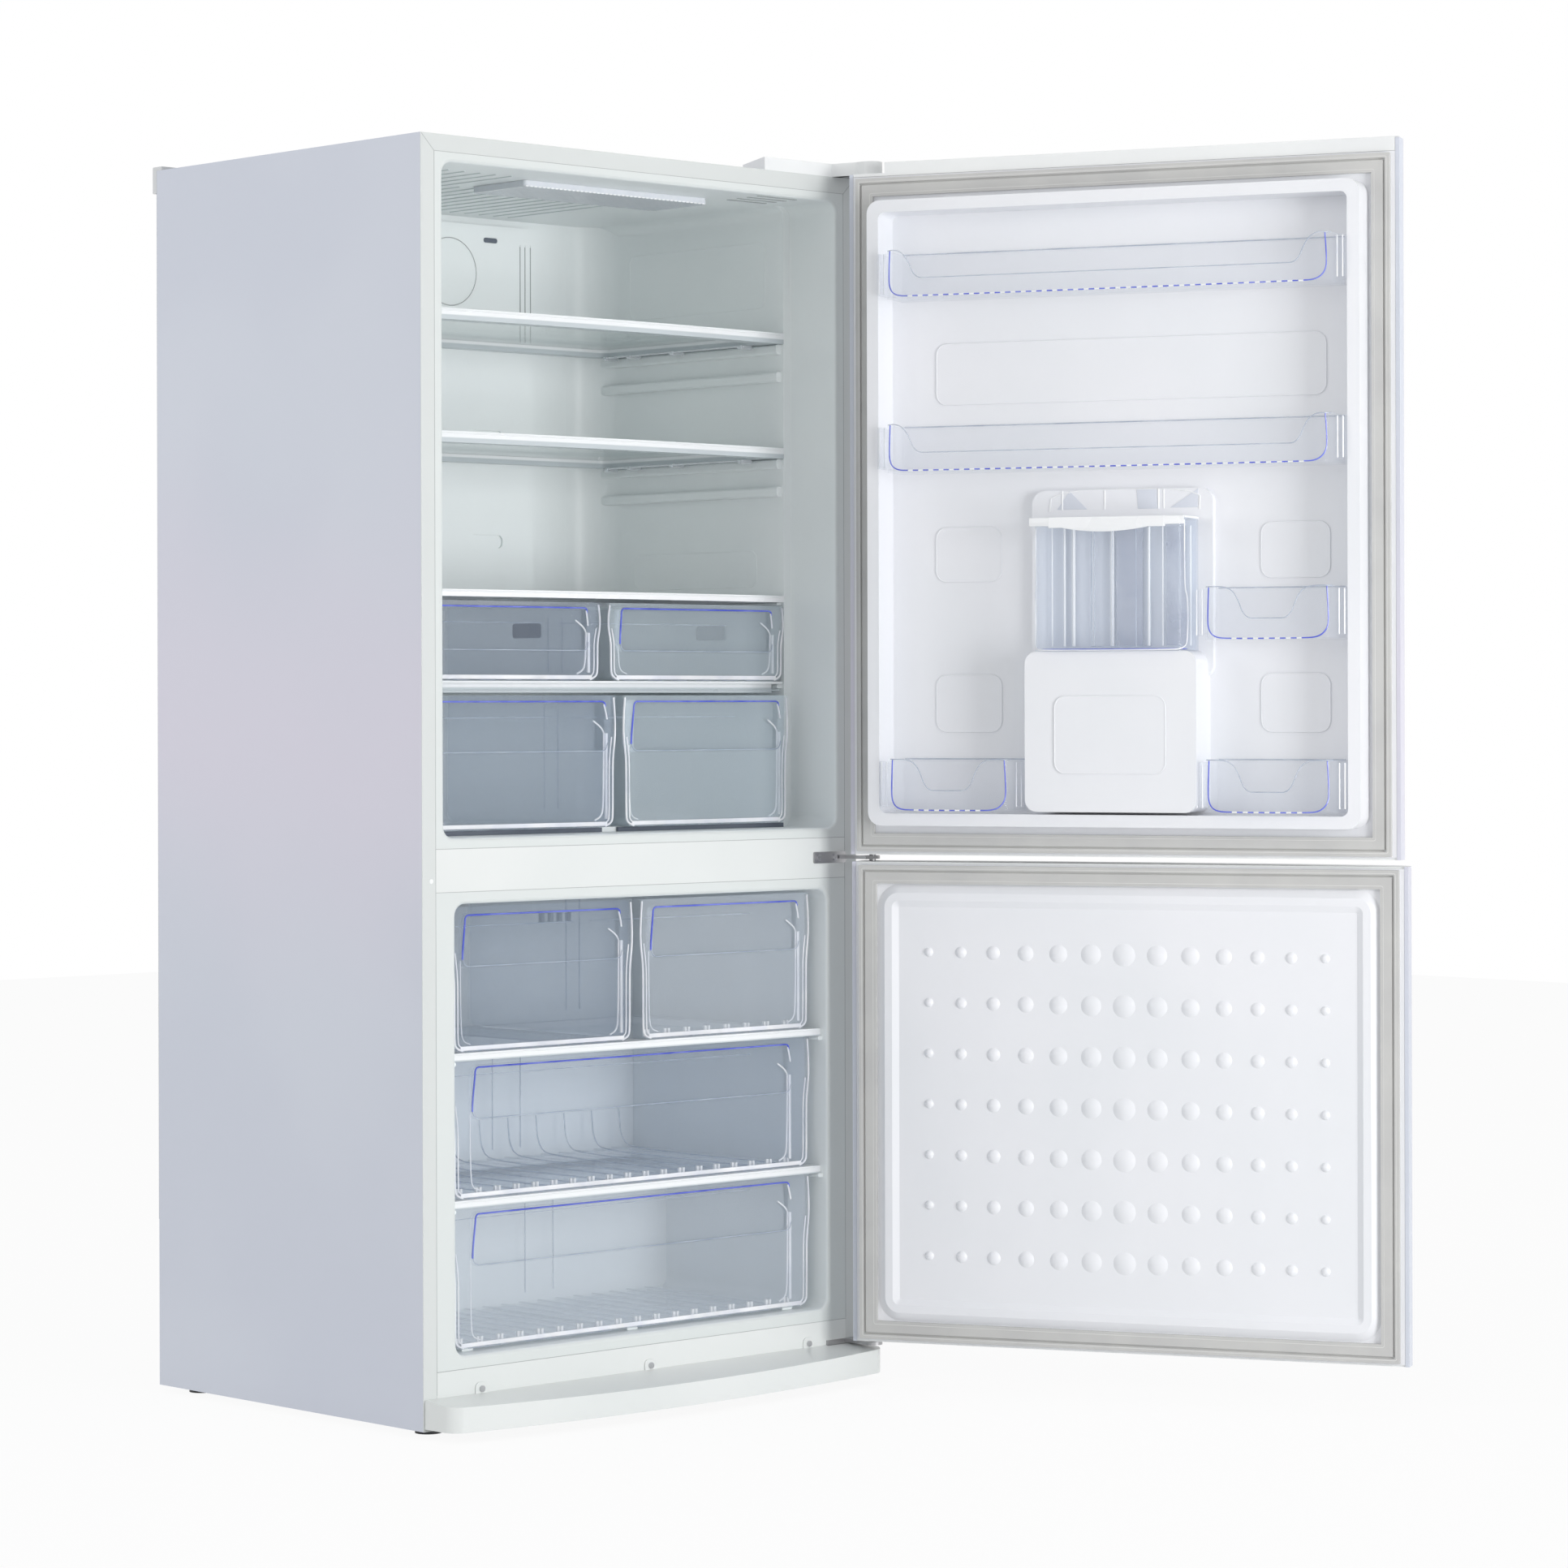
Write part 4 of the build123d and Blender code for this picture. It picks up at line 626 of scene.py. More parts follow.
@dataclass(frozen=True)
class ZincSheet(TwoTone):
    """Galvanised sheet with dull spangle."""

    def mix(self, f: Finish) -> None:
        """Mixes the material into an empty finish.

        Args:
            f: The finish.
        """
        spangle = f.noise(130.0, 4.0)
        f.set(Base_Color=f.between(spangle.ramp(0.35, 0.65), self.low, self.high))
        f.set(Metallic=0.85, Roughness=spangle * 0.16 + 0.38)
        f.bump(f.noise(300.0), 0.04, 0.3)


class Finishes:
    """Every material of the refrigerator."""

    def __init__(self) -> None:
        """Makes each material once."""
        lavender = (srgb(204, 209, 221), srgb(208, 213, 224), 0.4, 0.3)
        self.side_paint = SidePaint("side_paint", *lavender).make()
        self.cabinet_paint = SidePaint("cabinet_paint", *lavender, flange=srgb(212, 216, 215)).make()
        self.front_paint = Paint("front_paint", srgb(222, 226, 225), srgb(227, 230, 229), 0.34).make()
        self.pump = Paint("pump_paint", srgb(26, 26, 28), srgb(34, 34, 36), 0.28).make()

        self.liner = LinerSheet("white_liner", srgb(240, 245, 246), srgb(244, 249, 249), 0.36).make()
        # The rail plastic's second colour is painted shade, for the band under each nose.
        self.rail = RailPlastic("rail_plastic", srgb(238, 241, 243), srgb(196, 204, 208), 0.3).make()
        self.door_liner = Moulded("door_liner", srgb(234, 236, 240), srgb(238, 239, 243), 0.34).make()
        self.trim = Moulded("white_trim", srgb(240, 242, 244), srgb(244, 245, 247), 0.28).make()
        self.grey_plastic = Moulded("grey_plastic", srgb(205, 208, 210), srgb(212, 214, 216), 0.42).make()
        self.pale_plastic = Moulded("pale_plastic", srgb(234, 236, 237), srgb(240, 242, 242), 0.4).make()
        self.dark_plastic = Moulded("dark_plastic", srgb(44, 45, 48), srgb(54, 55, 58), 0.5).make()
        self.slot_shade = Moulded("slot_shade", srgb(96, 104, 116), srgb(112, 119, 130), 0.6).make()
        self.seam = Moulded("seam_shade", srgb(168, 172, 173), srgb(178, 182, 182), 0.6).make()
        self.rib_shade = Moulded("rib_shade", srgb(200, 209, 209), srgb(210, 218, 218), 0.5).make()
        self.facet_shade = Moulded("facet_shade", srgb(212, 216, 226), srgb(218, 222, 231), 0.4).make()
        # The lighter grey of the seal lips is a painted highlight.
        self.seal_lip_highlight = Moulded("seal_lip_highlight", srgb(212, 212, 210), srgb(220, 220, 218), 0.45).make()
        self.seal = SealVinyl("seal_vinyl", srgb(194, 194, 193), srgb(201, 201, 199)).make()

        # The drawers' clear plastic comes in a plain copy, a darker shaded copy and two lighter lit
        # copies, whose tints are painted shade and painted light.
        self.clear = ClearPlate("clear_plastic", srgb(214, 228, 248), 0.09, 0.42).make()
        self.shaded_clear = ClearPlate("shaded_clear", srgb(166, 182, 204), 0.1, 0.42).make()
        self.lit_clear = ClearPlate("lit_clear", srgb(232, 246, 255), 0.19, 0.45).make()
        self.softly_lit_clear = ClearPlate("softly_lit_clear", srgb(232, 241, 252), 0.145, 0.42).make()
        self.balcony_clear = ClearPlate("balcony_clear", srgb(222, 229, 241), 0.05, 0.3).make()
        self.glass = ClearPlate("shelf_glass", srgb(206, 224, 222), 0.1, 0.4).make()
        # The near-white edge plastic paints highlights along clear edges, and the tank's shade plastic
        # paints shade inside the tank.
        self.clear_edge_highlight = ClearRim("clear_edge_highlight", srgb(238, 241, 249), srgb(250, 251, 254), 0.92).make()
        self.blue_edge = ClearRim("blue_edge", srgb(84, 98, 220), srgb(126, 138, 234), 0.9).make()
        self.soft_edge = ClearRim("soft_edge", srgb(176, 188, 206), srgb(204, 213, 226), 0.6).make()
        self.tank_shade = ClearRim("tank_shade", srgb(204, 209, 224), srgb(216, 220, 232), 0.42).make()
        self.lens = LampLens("lamp_lens", srgb(222, 228, 236), srgb(240, 243, 248)).make()

        self.foam = CutFoam("foam", srgb(214, 198, 150), srgb(234, 220, 176)).make()
        self.zinc = ZincSheet("zinc_sheet", srgb(176, 180, 183), srgb(188, 191, 194)).make()
        self.steel = Steel("hinge_steel", srgb(176, 176, 178), 0.3).make()
        self.bright_steel = Steel("bright_steel", srgb(196, 197, 200), 0.18).make()
        self.coil = Steel("coil_aluminium", srgb(196, 198, 200), 0.34).make()
        self.rod = Steel("rod_chrome", srgb(216, 220, 224), 0.22, 0.35, (1.0, 0.05, 1.0)).make()


@dataclass
class Dressing:
    """Which CAD nodes wear which finish."""

    finishes: Finishes
    sharp_from: float = 28.0

    def table(self) -> dict[str, Finish]:
        """Lists the finish of every CAD node.

        Returns:
            The finish of each node by name.
        """
        f = self.finishes
        groups = (
            (f.cabinet_paint, "cabinet_shell"),
            (f.side_paint, "fridge_door_skin freezer_door_skin"),
            (f.front_paint, "front_rail mullion_cover kick_plate"),
            (f.zinc, "back_panel base_pan compressor_tray machine_cover"),
            (f.steel, "top_hinge_bracket middle_hinge_bracket bottom_hinge_bracket"),
            (f.bright_steel, "case_screws"),
            (f.rod, "shelf_rods"),
            (f.liner, "fridge_liner freezer_liner fridge_air_duct freezer_air_duct"),
            (f.door_liner, "fridge_door_liner freezer_door_liner dispenser_niche"),
            (f.rail, "shelf_frames crisper_divider freezer_crossbars"),
            (f.trim, "crisper_cover tank_lid"),
            (f.pale_plastic, "top_hinge_cover fridge_door_caps freezer_door_caps"),
            (f.grey_plastic, "rear_top_trim dispenser_lever fan_motor control_box"),
            (f.dark_plastic, "levelling_feet drip_pan fan_rotor"),
            # The drawers wear the plain, the darker shaded and the lighter lit copies of one clear
            # plastic, as painted light and shade.
            (f.clear, "upper_left_crisper lower_left_crisper middle_freezer_drawer water_tank"),
            (f.lit_clear, "upper_right_crisper lower_right_crisper"),
            (f.softly_lit_clear, "upper_right_freezer_drawer bottom_freezer_drawer"),
            (f.shaded_clear, "upper_left_freezer_drawer"),
            (f.balcony_clear, "upper_long_balcony lower_long_balcony small_balconies"),
            (f.glass, "shelf_glass"),
            (f.lens, "cabin_lamp"),
            (f.seal, "fridge_door_gasket freezer_door_gasket cord_gland"),
            (f.foam, "cabinet_insulation fridge_door_insulation freezer_door_insulation"),
            (f.pump, "compressor"),
            (f.coil, "evaporator condenser"),
        )
        return {node: finish for finish, names in groups for node in names.split()}

    def apply(self) -> None:
        """Puts each finish on its node and smooths the round faces."""
        for node, finish in self.table().items():
            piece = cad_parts[node]
            piece.data.materials.clear()
            piece.data.materials.append(finish.material)
            piece.data.shade_smooth()
            piece.data.set_sharp_from_angle(angle=math.radians(self.sharp_from))


class Probe:
    """Finds points on the surfaces of the CAD nodes, in millimetres."""

    def __init__(self) -> None:
        """Starts with no node measured."""
        self._trees: dict[str, BVHTree] = {}

    def _tree(self, node: str) -> BVHTree:
        """Search tree over a node's faces, made when it is first asked for.

        Args:
            node: Name of the node.

        Returns:
            The tree.
        """
        if node not in self._trees:
            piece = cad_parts[node]
            corners = [piece.matrix_world @ v.co / MM for v in piece.data.vertices]
            faces = [list(p.vertices) for p in piece.data.polygons]
            self._trees[node] = BVHTree.FromPolygons(corners, faces)
        return self._trees[node]

    def hit(self, node: str, start: Vector, along: Vector) -> Vector:
        """Follows a ray to a node.

        Args:
            node: Name of the node.
            start: Where the ray starts.
            along: Its direction.

        Returns:
            The point that it meets, or the node's point nearest to its start.
        """
        place = self._tree(node).ray_cast(start, along)[0]
        return place if place is not None else self._tree(node).find_nearest(start)[0]


@dataclass(frozen=True)
class Door:
    """Place of a door's own coordinates in the rest pose."""

    angle: float
    pivot: tuple[float, float] = (403.0, -363.0)
    edge: float = 420.0
    front: float = -310.0

    def place(self, u: float, v: float, z: float) -> Vector:
        """Turns door coordinates into the shared frame.

        Args:
            u: Distance from the hinge side.
            v: Distance behind the cabinet front of the shut door.
            z: Height.

        Returns:
            The point with the door open as at rest.
        """
        x, y = self.edge - u - self.pivot[0], self.front + v - self.pivot[1]
        c, s = math.cos(math.radians(self.angle)), math.sin(math.radians(self.angle))
        return Vector((self.pivot[0] + c * x - s * y, self.pivot[1] + s * x + c * y, z))

    def outward(self) -> Vector:
        """Unit vector along which the inner side of the door looks."""
        return (self.place(0.0, 1.0, 0.0) - self.place(0.0, 0.0, 0.0)).normalized()


@dataclass
class Workshop:
    """Makes pieces in mesh code and hangs each one on its body."""

    finishes: Finishes
    made: list[bpy.types.Object] = field(default_factory=list)
    bead_sides: int = 6
    sharp_from: float = 40.0

    def _keep(self, name: str, form: bmesh.types.BMesh, finish: Finish, body: str) -> None:
        """Turns a form in millimetres into a piece that rides on its body.

        Args:
            name: Name of the piece.
            form: Its shape, which is used up.
            finish: Its material.
            body: Body that carries it.
        """
        bmesh.ops.recalc_face_normals(form, faces=form.faces)
        bmesh.ops.transform(form, matrix=Matrix.Scale(MM, 4), verts=form.verts)
        mesh = bpy.data.meshes.new(name)
        form.to_mesh(mesh)
        form.free()
        mesh.materials.append(finish.material)
        mesh.shade_smooth()
        mesh.set_sharp_from_angle(angle=math.radians(self.sharp_from))
        piece = bpy.data.objects.new(name, mesh)
        bpy.context.scene.collection.objects.link(piece)
        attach(piece, str(body))
        self.made.append(piece)

    def beads(
        self,
        name: str,
        paths: Iterable[Bead],
        finish: Finish,
        body: str,
        slot: str,
        closed: bool = False,
    ) -> None:
        """Thin round beads along paths.

        Args:
            name: Name of the piece.
            paths: Points and radius of each bead.
            finish: Its material.
            body: Body that carries it.
            slot: Material slot of the record; not used.
            closed: Whether each path returns to its start.
        """
        form = bmesh.new()
        for path, radius in paths:
            self._bead(form, path, radius, closed)
        self._keep(name, form, finish, body)

    def _bead(self, form: bmesh.types.BMesh, path: Path, radius: float, closed: bool) -> None:
        """Rings along a path, bridged in pairs.

        Args:
            form: The shape that the bead joins.
            path: Its points.
            radius: Its radius.
            closed: Whether the path returns to its start.
        """
        rings = []
        last = len(path) - 1
        for index, point in enumerate(path):
            before = path[index - 1] if index or closed else point
            after = path[(index + 1) % len(path)] if index < last or closed else point
            turn = (after - before).to_track_quat("Z", "Y").to_matrix().to_4x4()
            ring = bmesh.ops.create_circle(
                form,
                cap_ends=not closed and index in (0, last),
                segments=self.bead_sides,
                radius=radius,
                matrix=Matrix.Translation(point) @ turn,
            )["verts"]
            inside = set(ring)
            rings.append([e for v in ring for e in v.link_edges if set(e.verts) <= inside])
        pairs = list(zip(rings, rings[1:])) + ([(rings[-1], rings[0])] if closed else [])
        for first, second in pairs:
            bmesh.ops.bridge_loops(form, edges=list(dict.fromkeys(first + second)))

    def plates(
        self,
        name: str,
        outlines: Iterable[Plate],
        bevel: float,
        finish: Finish,
        body: str,
        slot: str,
    ) -> None:
        """Raised plates with softened upper edges.

        Args:
            name: Name of the piece.
            outlines: Points of each base and the way up to its top.
            bevel: Width of the softened edge.
            finish: Their material.
            body: Body that carries them.
            slot: Material slot of the record; not used.
        """
        form = bmesh.new()
        for outline, rise in outlines:
            base = form.faces.new([form.verts.new(p) for p in outline])
            lifted = bmesh.ops.extrude_face_region(form, geom=[base], use_keep_orig=True)["geom"]
            corners = [g for g in lifted if isinstance(g, bmesh.types.BMVert)]
            edges = [g for g in lifted if isinstance(g, bmesh.types.BMEdge)]
            bmesh.ops.translate(form, vec=rise, verts=corners)
            if bevel:
                bmesh.ops.bevel(
                    form, geom=edges, offset=bevel, segments=2, profile=0.5, affect="EDGES", material=-1
                )
        self._keep(name, form, finish, body)


@dataclass
class ClearDrawer:
    """Edges, grip and ribs of one clear drawer.

    The margin from both sides, the drop below the top, the height and the slant are
    those of the finger grip that is sunk in the drawer's front.
    """

    shop: Workshop
    probe: Probe
    node: str
    margin: float
    below: float
    grip: float
    slant: float = 5.0
    pegs: int = 0
    ribs: int = 0
    slotted: bool = False
    edge_inset: float = 4.5
    foot_radius: float = 15.0
    strip_inset: float = 17.0
    strip_heights: tuple[float, float] = (2.2, 8.2)
    peg_inset: float = 30.0
    peg_height: float = 10.0
    rib_inset: float = 36.0
    tucks: int = 6
    tub_depth: float = 4.5
    tub_foot: float = 10.0
    slot_span: tuple[float, float] = (-88.0, -23.0)
    slot_half_height: float = 11.0

    def __post_init__(self) -> None:
        """Measures the drawer and finds the body that carries it."""
        low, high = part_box(self.node)
        self.x0, self.y0, self.z0 = (c / MM for c in low)
        self.x1, self.y1, self.z1 = (c / MM for c in high)
        self.body = self.node if self.node.endswith("drawer") else f"{self.node}_drawer"

    def build(self) -> None:
        """Adds the drawer's pieces."""
        self._frame()
        self._foot()
        self._grip()
        self._tub()
        self._far_seams()
        if self.pegs:
            self._pegs()
        if self.ribs:
            self._ribs()
        if self.slotted:
            self._slot()

    def _beads(self, part: str, paths: Iterable[Bead], finish: Finish) -> None:
        """Hangs beads of clear plastic on this drawer.

        Args:
            part: What they are, for the name of the piece.
            paths: Points and radius of each bead.
            finish: Their material.
        """
        self.shop.beads(f"{self.node}_{part}", paths, finish, self.body, Slot.CLEAR)

    def _at(self, x: float, z: float, proud: float = 0.6) -> Vector:
        """Point just in front of the drawer's front.

        Args:
            x: Its place across the cabinet.
            z: Its height.
            proud: How far it stands off.

        Returns:
            The point.
        """
        start = Vector((x, self.y0 - 60.0, self.z0 + 0.3 * (self.z1 - self.z0)))
        return Vector((x, self.probe.hit(self.node, start, BACK).y - proud, z))

    def _drawn(self, corners: Sequence[Sequence[float]], proud: float = 0.6) -> Path:
        """Rounded line just in front of the drawer's front through x and z of its corners."""
        return [self._at(x, z, proud) for x, z in smooth(corners)]

    def _side(self, right: bool, inset: float, top: float, proud: float) -> Path:
        """S-shaped line down one side of the front, with a round foot.

        Args:
            right: Which side.
            inset: How far it lies inside the outermost line.
            top: Share of the height at which it starts, from the top.
            proud: How far it stands off.

        Returns:
            The points of the line.
        """
        sign = -1.0 if right else 1.0
        edge = (self.x1 if right else self.x0) + sign * (self.edge_inset + inset)
        tall = self.z1 - self.z0
        marks = ((0.0, -0.5), (0.16, -3.2), (0.3, -3.2), (0.46, 1.2), (0.6, 1.6))
        shape = [(edge + sign * d, self.z1 - 3.0 - t * tall) for t, d in marks if t >= top]
        foot = self.foot_radius - inset * 0.4
        low = self.z0 + 1.5 + inset * 0.5
        for across, up in ((0.0, 1.0), (0.15, 0.35), (1.0, 0.0)):
            shape.append((edge + sign * (1.6 + foot * across), low + foot * up))
        return self._drawn(shape, proud)

    def _frame(self) -> None:
        """Double rims down both sides, coloured as painted highlights."""
        sides = []
        for right in (False, True):
            sides.append((self._side(right, 0.0, 0.0, 0.4), 1.5))
            sides.append((self._side(right, 6.5, 0.3, 0.1), 1.0))
        self._beads("rims", sides, self.shop.finishes.clear_edge_highlight)

    def _foot(self) -> None:
        """Strip along the foot, coloured as a painted highlight, and the small tucks under it."""
        f = self.shop.finishes
        row = spread(self.x0 + self.strip_inset, self.x1 - self.strip_inset, 13)
        lower, upper = (self.z0 + height for height in self.strip_heights)
        strip = [self._at(x, lower, 0.2) for x in row]
        strip += [self._at(x, upper, 0.2) for x in reversed(row)]
        outline = [(strip, -BACK)]
        self.shop.plates(f"{self.node}_foot_strip", outline, 0.4, f.clear_edge_highlight, self.body, Slot.CLEAR)
        pitch = (self.x1 - self.x0 - 60) / self.tucks
        tucks = []
        for i in range(self.tucks):
            x = self.x0 + 30 + i * pitch
            tuck = [self._at(x + s * pitch * 0.28, self.z0 + 0.9, 0.3) for s in (0, 1, 2)]
            tucks.append((tuck, 0.5))
        self._beads("foot_tucks", tucks, f.soft_edge)

    def _grip(self) -> None:
        """Blue rim of the finger grip, slanting outwards on its way down."""
        f = self.shop.finishes
        left, right = self.x0 + self.margin, self.x1 - self.margin
        top, low = self.z1 - self.below, self.z1 - self.below - self.grip
        s = self.slant
        over = [(left - s * 0.2, top - 16), (left, top), (left + 14, top)]
        over += [(right - 14, top), (right, top), (right + s * 0.3, top - 7)]
        flank = [(left - s * 0.2, top - 14), (left - s * 0.9, low + 24), (left - s, low + 10)]
        under = [(left - s * 0.2, top - 16), (left - s, low + 20), (left - s * 0.6, low)]
        under += [(left + 22, low), (right - 20, low), (right + s * 0.4, low), (right + s, low + 12)]
        glint = [(right - 1, top - 4), (right + s * 0.5, top - 16), (right + s * 0.8, top - 26)]
        self._beads("grip_rim", [(self._drawn(over), 1.3), (self._drawn(flank), 1.4)], f.blue_edge)
        self._beads("grip_foot", [(self._drawn(under), 0.7)], f.soft_edge)
        self._beads("grip_glint", [(self._drawn(glint), 1.3)], f.clear_edge_highlight)

    def _tub(self) -> None:
        """Near edges of the tub as they show through the front, with a broad band down the right side,
        all coloured as painted highlights.
        """
        left, right = self.x0 + self.margin - self.slant, self.x1 - self.margin + 3
        low = self.z1 - self.below - self.grip
        foot = self.z0 + self.tub_foot
        near = [(left, low + 8), (left + 1, foot + 24), (left + 4, foot + 5), (left + 18, foot)]
        far = [(right, low + 26), (right - 1, foot + 26), (right - 4, foot + 6), (right - 18, foot)]
        brace = [(right - 20, low + 44), (right - 4, low + 34), (right + 1, low + 24)]
        lines = ((near, 0.9), (far, 1.4), (brace, 1.3))
        paths = [(self._drawn(line, -self.tub_depth), radius) for line, radius in lines]
        band = [self._at(right + 6.0, z, -6.0) for z in (low + 26, (low + foot) / 2, foot + 2)]
        self._beads("tub_edge_highlights", [*paths, (band, 2.8)], self.shop.finishes.clear_edge_highlight)

    def _far_seams(self) -> None:
        """Two upright lines on the tub's rear wall that paint a faint pair of reflections, and a level
        line across the tub behind the grip.
        """
        low = self.z1 - self.below - self.grip
        depth = min(120.0, (self.y1 - self.y0) * 0.4)
        seams = []
        for share in (0.58, 0.66):
            x = self.x0 + share * (self.x1 - self.x0)
            heights = (self.z0 + 16, low, self.z1 - 14)
            seams.append(([Vector((x, self.y1 - 8.0, z)) for z in heights], 0.9))
        line = self.z1 - self.below - 0.32 * self.grip
        seams.append(([Vector((x, self.y0 + depth, line)) for x in (self.x0 + 9, self.x1 - 9)], 0.7))
        self._beads("far_seams", seams, self.shop.finishes.soft_edge)

    def _pegs(self) -> None:
        """Row of small crosses that stand along the front of the floor."""
        y, z = self.y0 + 20.0, self.z0 + 2.6
        crosses = []
        for x in spread(self.x0 + self.peg_inset, self.x1 - self.peg_inset, self.pegs):
            for wide, deep in ((5.5, 1.6), (1.6, 5.5)):
                corners = ((-wide, -deep), (wide, -deep), (wide, deep), (-wide, deep))
                base = [Vector((x + a, y + b, z)) for a, b in corners]
                crosses.append((base, UP * self.peg_height))
        trim = self.shop.finishes.trim
        self.shop.plates(f"{self.node}_pegs", crosses, 0.3, trim, self.body, Slot.CLEAR)

    def _ribs(self) -> None:
        """Ribs that run over the floor and curve up the rear wall."""
        back, z = self.y1 - 9.0, self.z0 + 3.2
        paths = []
        for x in spread(self.x0 + self.rib_inset, self.x1 - self.rib_inset, self.ribs):
            run = [(x, self.y0 + 34, z), (x, back - 50, z), (x, back - 6, z + 8), (x, back, z + 60)]
            paths.append(([Vector(p) for p in smooth(run)], 1.1))
        self._beads("floor_ribs", paths, self.shop.finishes.soft_edge)

    def _slot(self) -> None:
        """Dark rounded plate on the inner face of the right side wall, painted shade where the slot shows
        dark.
        """
        middle = (self.z0 + self.z1) / 2 + 18.0
        start = Vector((self.x1 - 60.0, self.y0 + 70.0, middle))
        wall = self.probe.hit(self.node, start, RIGHT).x
        (near, far), half = self.slot_span, self.slot_half_height
        outline = rounded((near, middle - half), (far, middle + half), 5.0)
        insert = [([Vector((wall + 0.2, y, z)) for y, z in outline], RIGHT * -1.2)]
        shade = self.shop.finishes.slot_shade
        self.shop.plates(f"{self.node}_slot", insert, 0.2, shade, self.body, Slot.DARK)


@dataclass
class Drawers:
    """All eight clear drawers."""

    shop: Workshop
    probe: Probe

    def build(self) -> None:
        """Adds the pieces of each drawer."""
        for side in ("left", "right"):
            self._drawer(f"upper_{side}_crisper", (27.0, 8.0, 62.0, 3.0), slotted=True)
            self._drawer(f"lower_{side}_crisper", (22.0, 9.0, 72.0, 6.0))
        self._drawer("upper_left_freezer_drawer", (26.0, 12.0, 72.0, 5.0))
        self._drawer("upper_right_freezer_drawer", (26.0, 12.0, 72.0, 5.0), pegs=8)
        self._drawer("middle_freezer_drawer", (44.0, 9.0, 72.0, 6.0), pegs=19, ribs=12)
        self._drawer("bottom_freezer_drawer", (44.0, 9.0, 72.0, 6.0), pegs=18)

    def _drawer(self, node: str, grip: tuple[float, float, float, float], **extras: int) -> None:
        """Adds the pieces of one drawer, from its grip's margin, drop, height and slant."""
        ClearDrawer(self.shop, self.probe, node, *grip, **extras).build()


@dataclass
class DoorPart:
    """Something on the inner side of the fridge door."""

    shop: Workshop
    probe: Probe
    door: Door

    def beads(
        self,
        name: str,
        paths: Iterable[Bead],
        finish: Finish,
        slot: Slot = Slot.CLEAR,
        closed: bool = False,
    ) -> None:
        """Hangs beads on the fridge door.

        Args:
            name: Name of the piece.
            paths: Points and radius of each bead.
            finish: Their material.
            slot: Material slot of the record.
            closed: Whether each path returns to its start.
        """
        self.shop.beads(name, paths, finish, Body.FRIDGE_DOOR, slot, closed)

    def plates(
        self, name: str, outlines: Iterable[Plate], finish: Finish, slot: Slot = Slot.CLEAR
    ) -> None:
        """Hangs thin plates on the fridge door.

        Args:
            name: Name of the piece.
            outlines: Points of each base and the way up to its top.
            finish: Their material.
            slot: Material slot of the record.
        """
        self.shop.plates(name, outlines, 0.2, finish, Body.FRIDGE_DOOR, slot)

    def in_front_of(
        self, node: str, u: float, z: float, proud: float, eye: tuple[float, float]
    ) -> Vector:
        """Point just in front of a node of the door, in the rest pose.

        Args:
            node: Name of the node.
            u: Distance from the hinge side.
            z: Height of the point.
            proud: How far it stands off.
            eye: Depth in door coordinates and height from which the node is probed.

        Returns:
            The point.
        """
        out = self.door.outward()
        met = self.probe.hit(node, self.door.place(u, *eye), -out)
        return Vector((met.x, met.y, z)) + out * proud


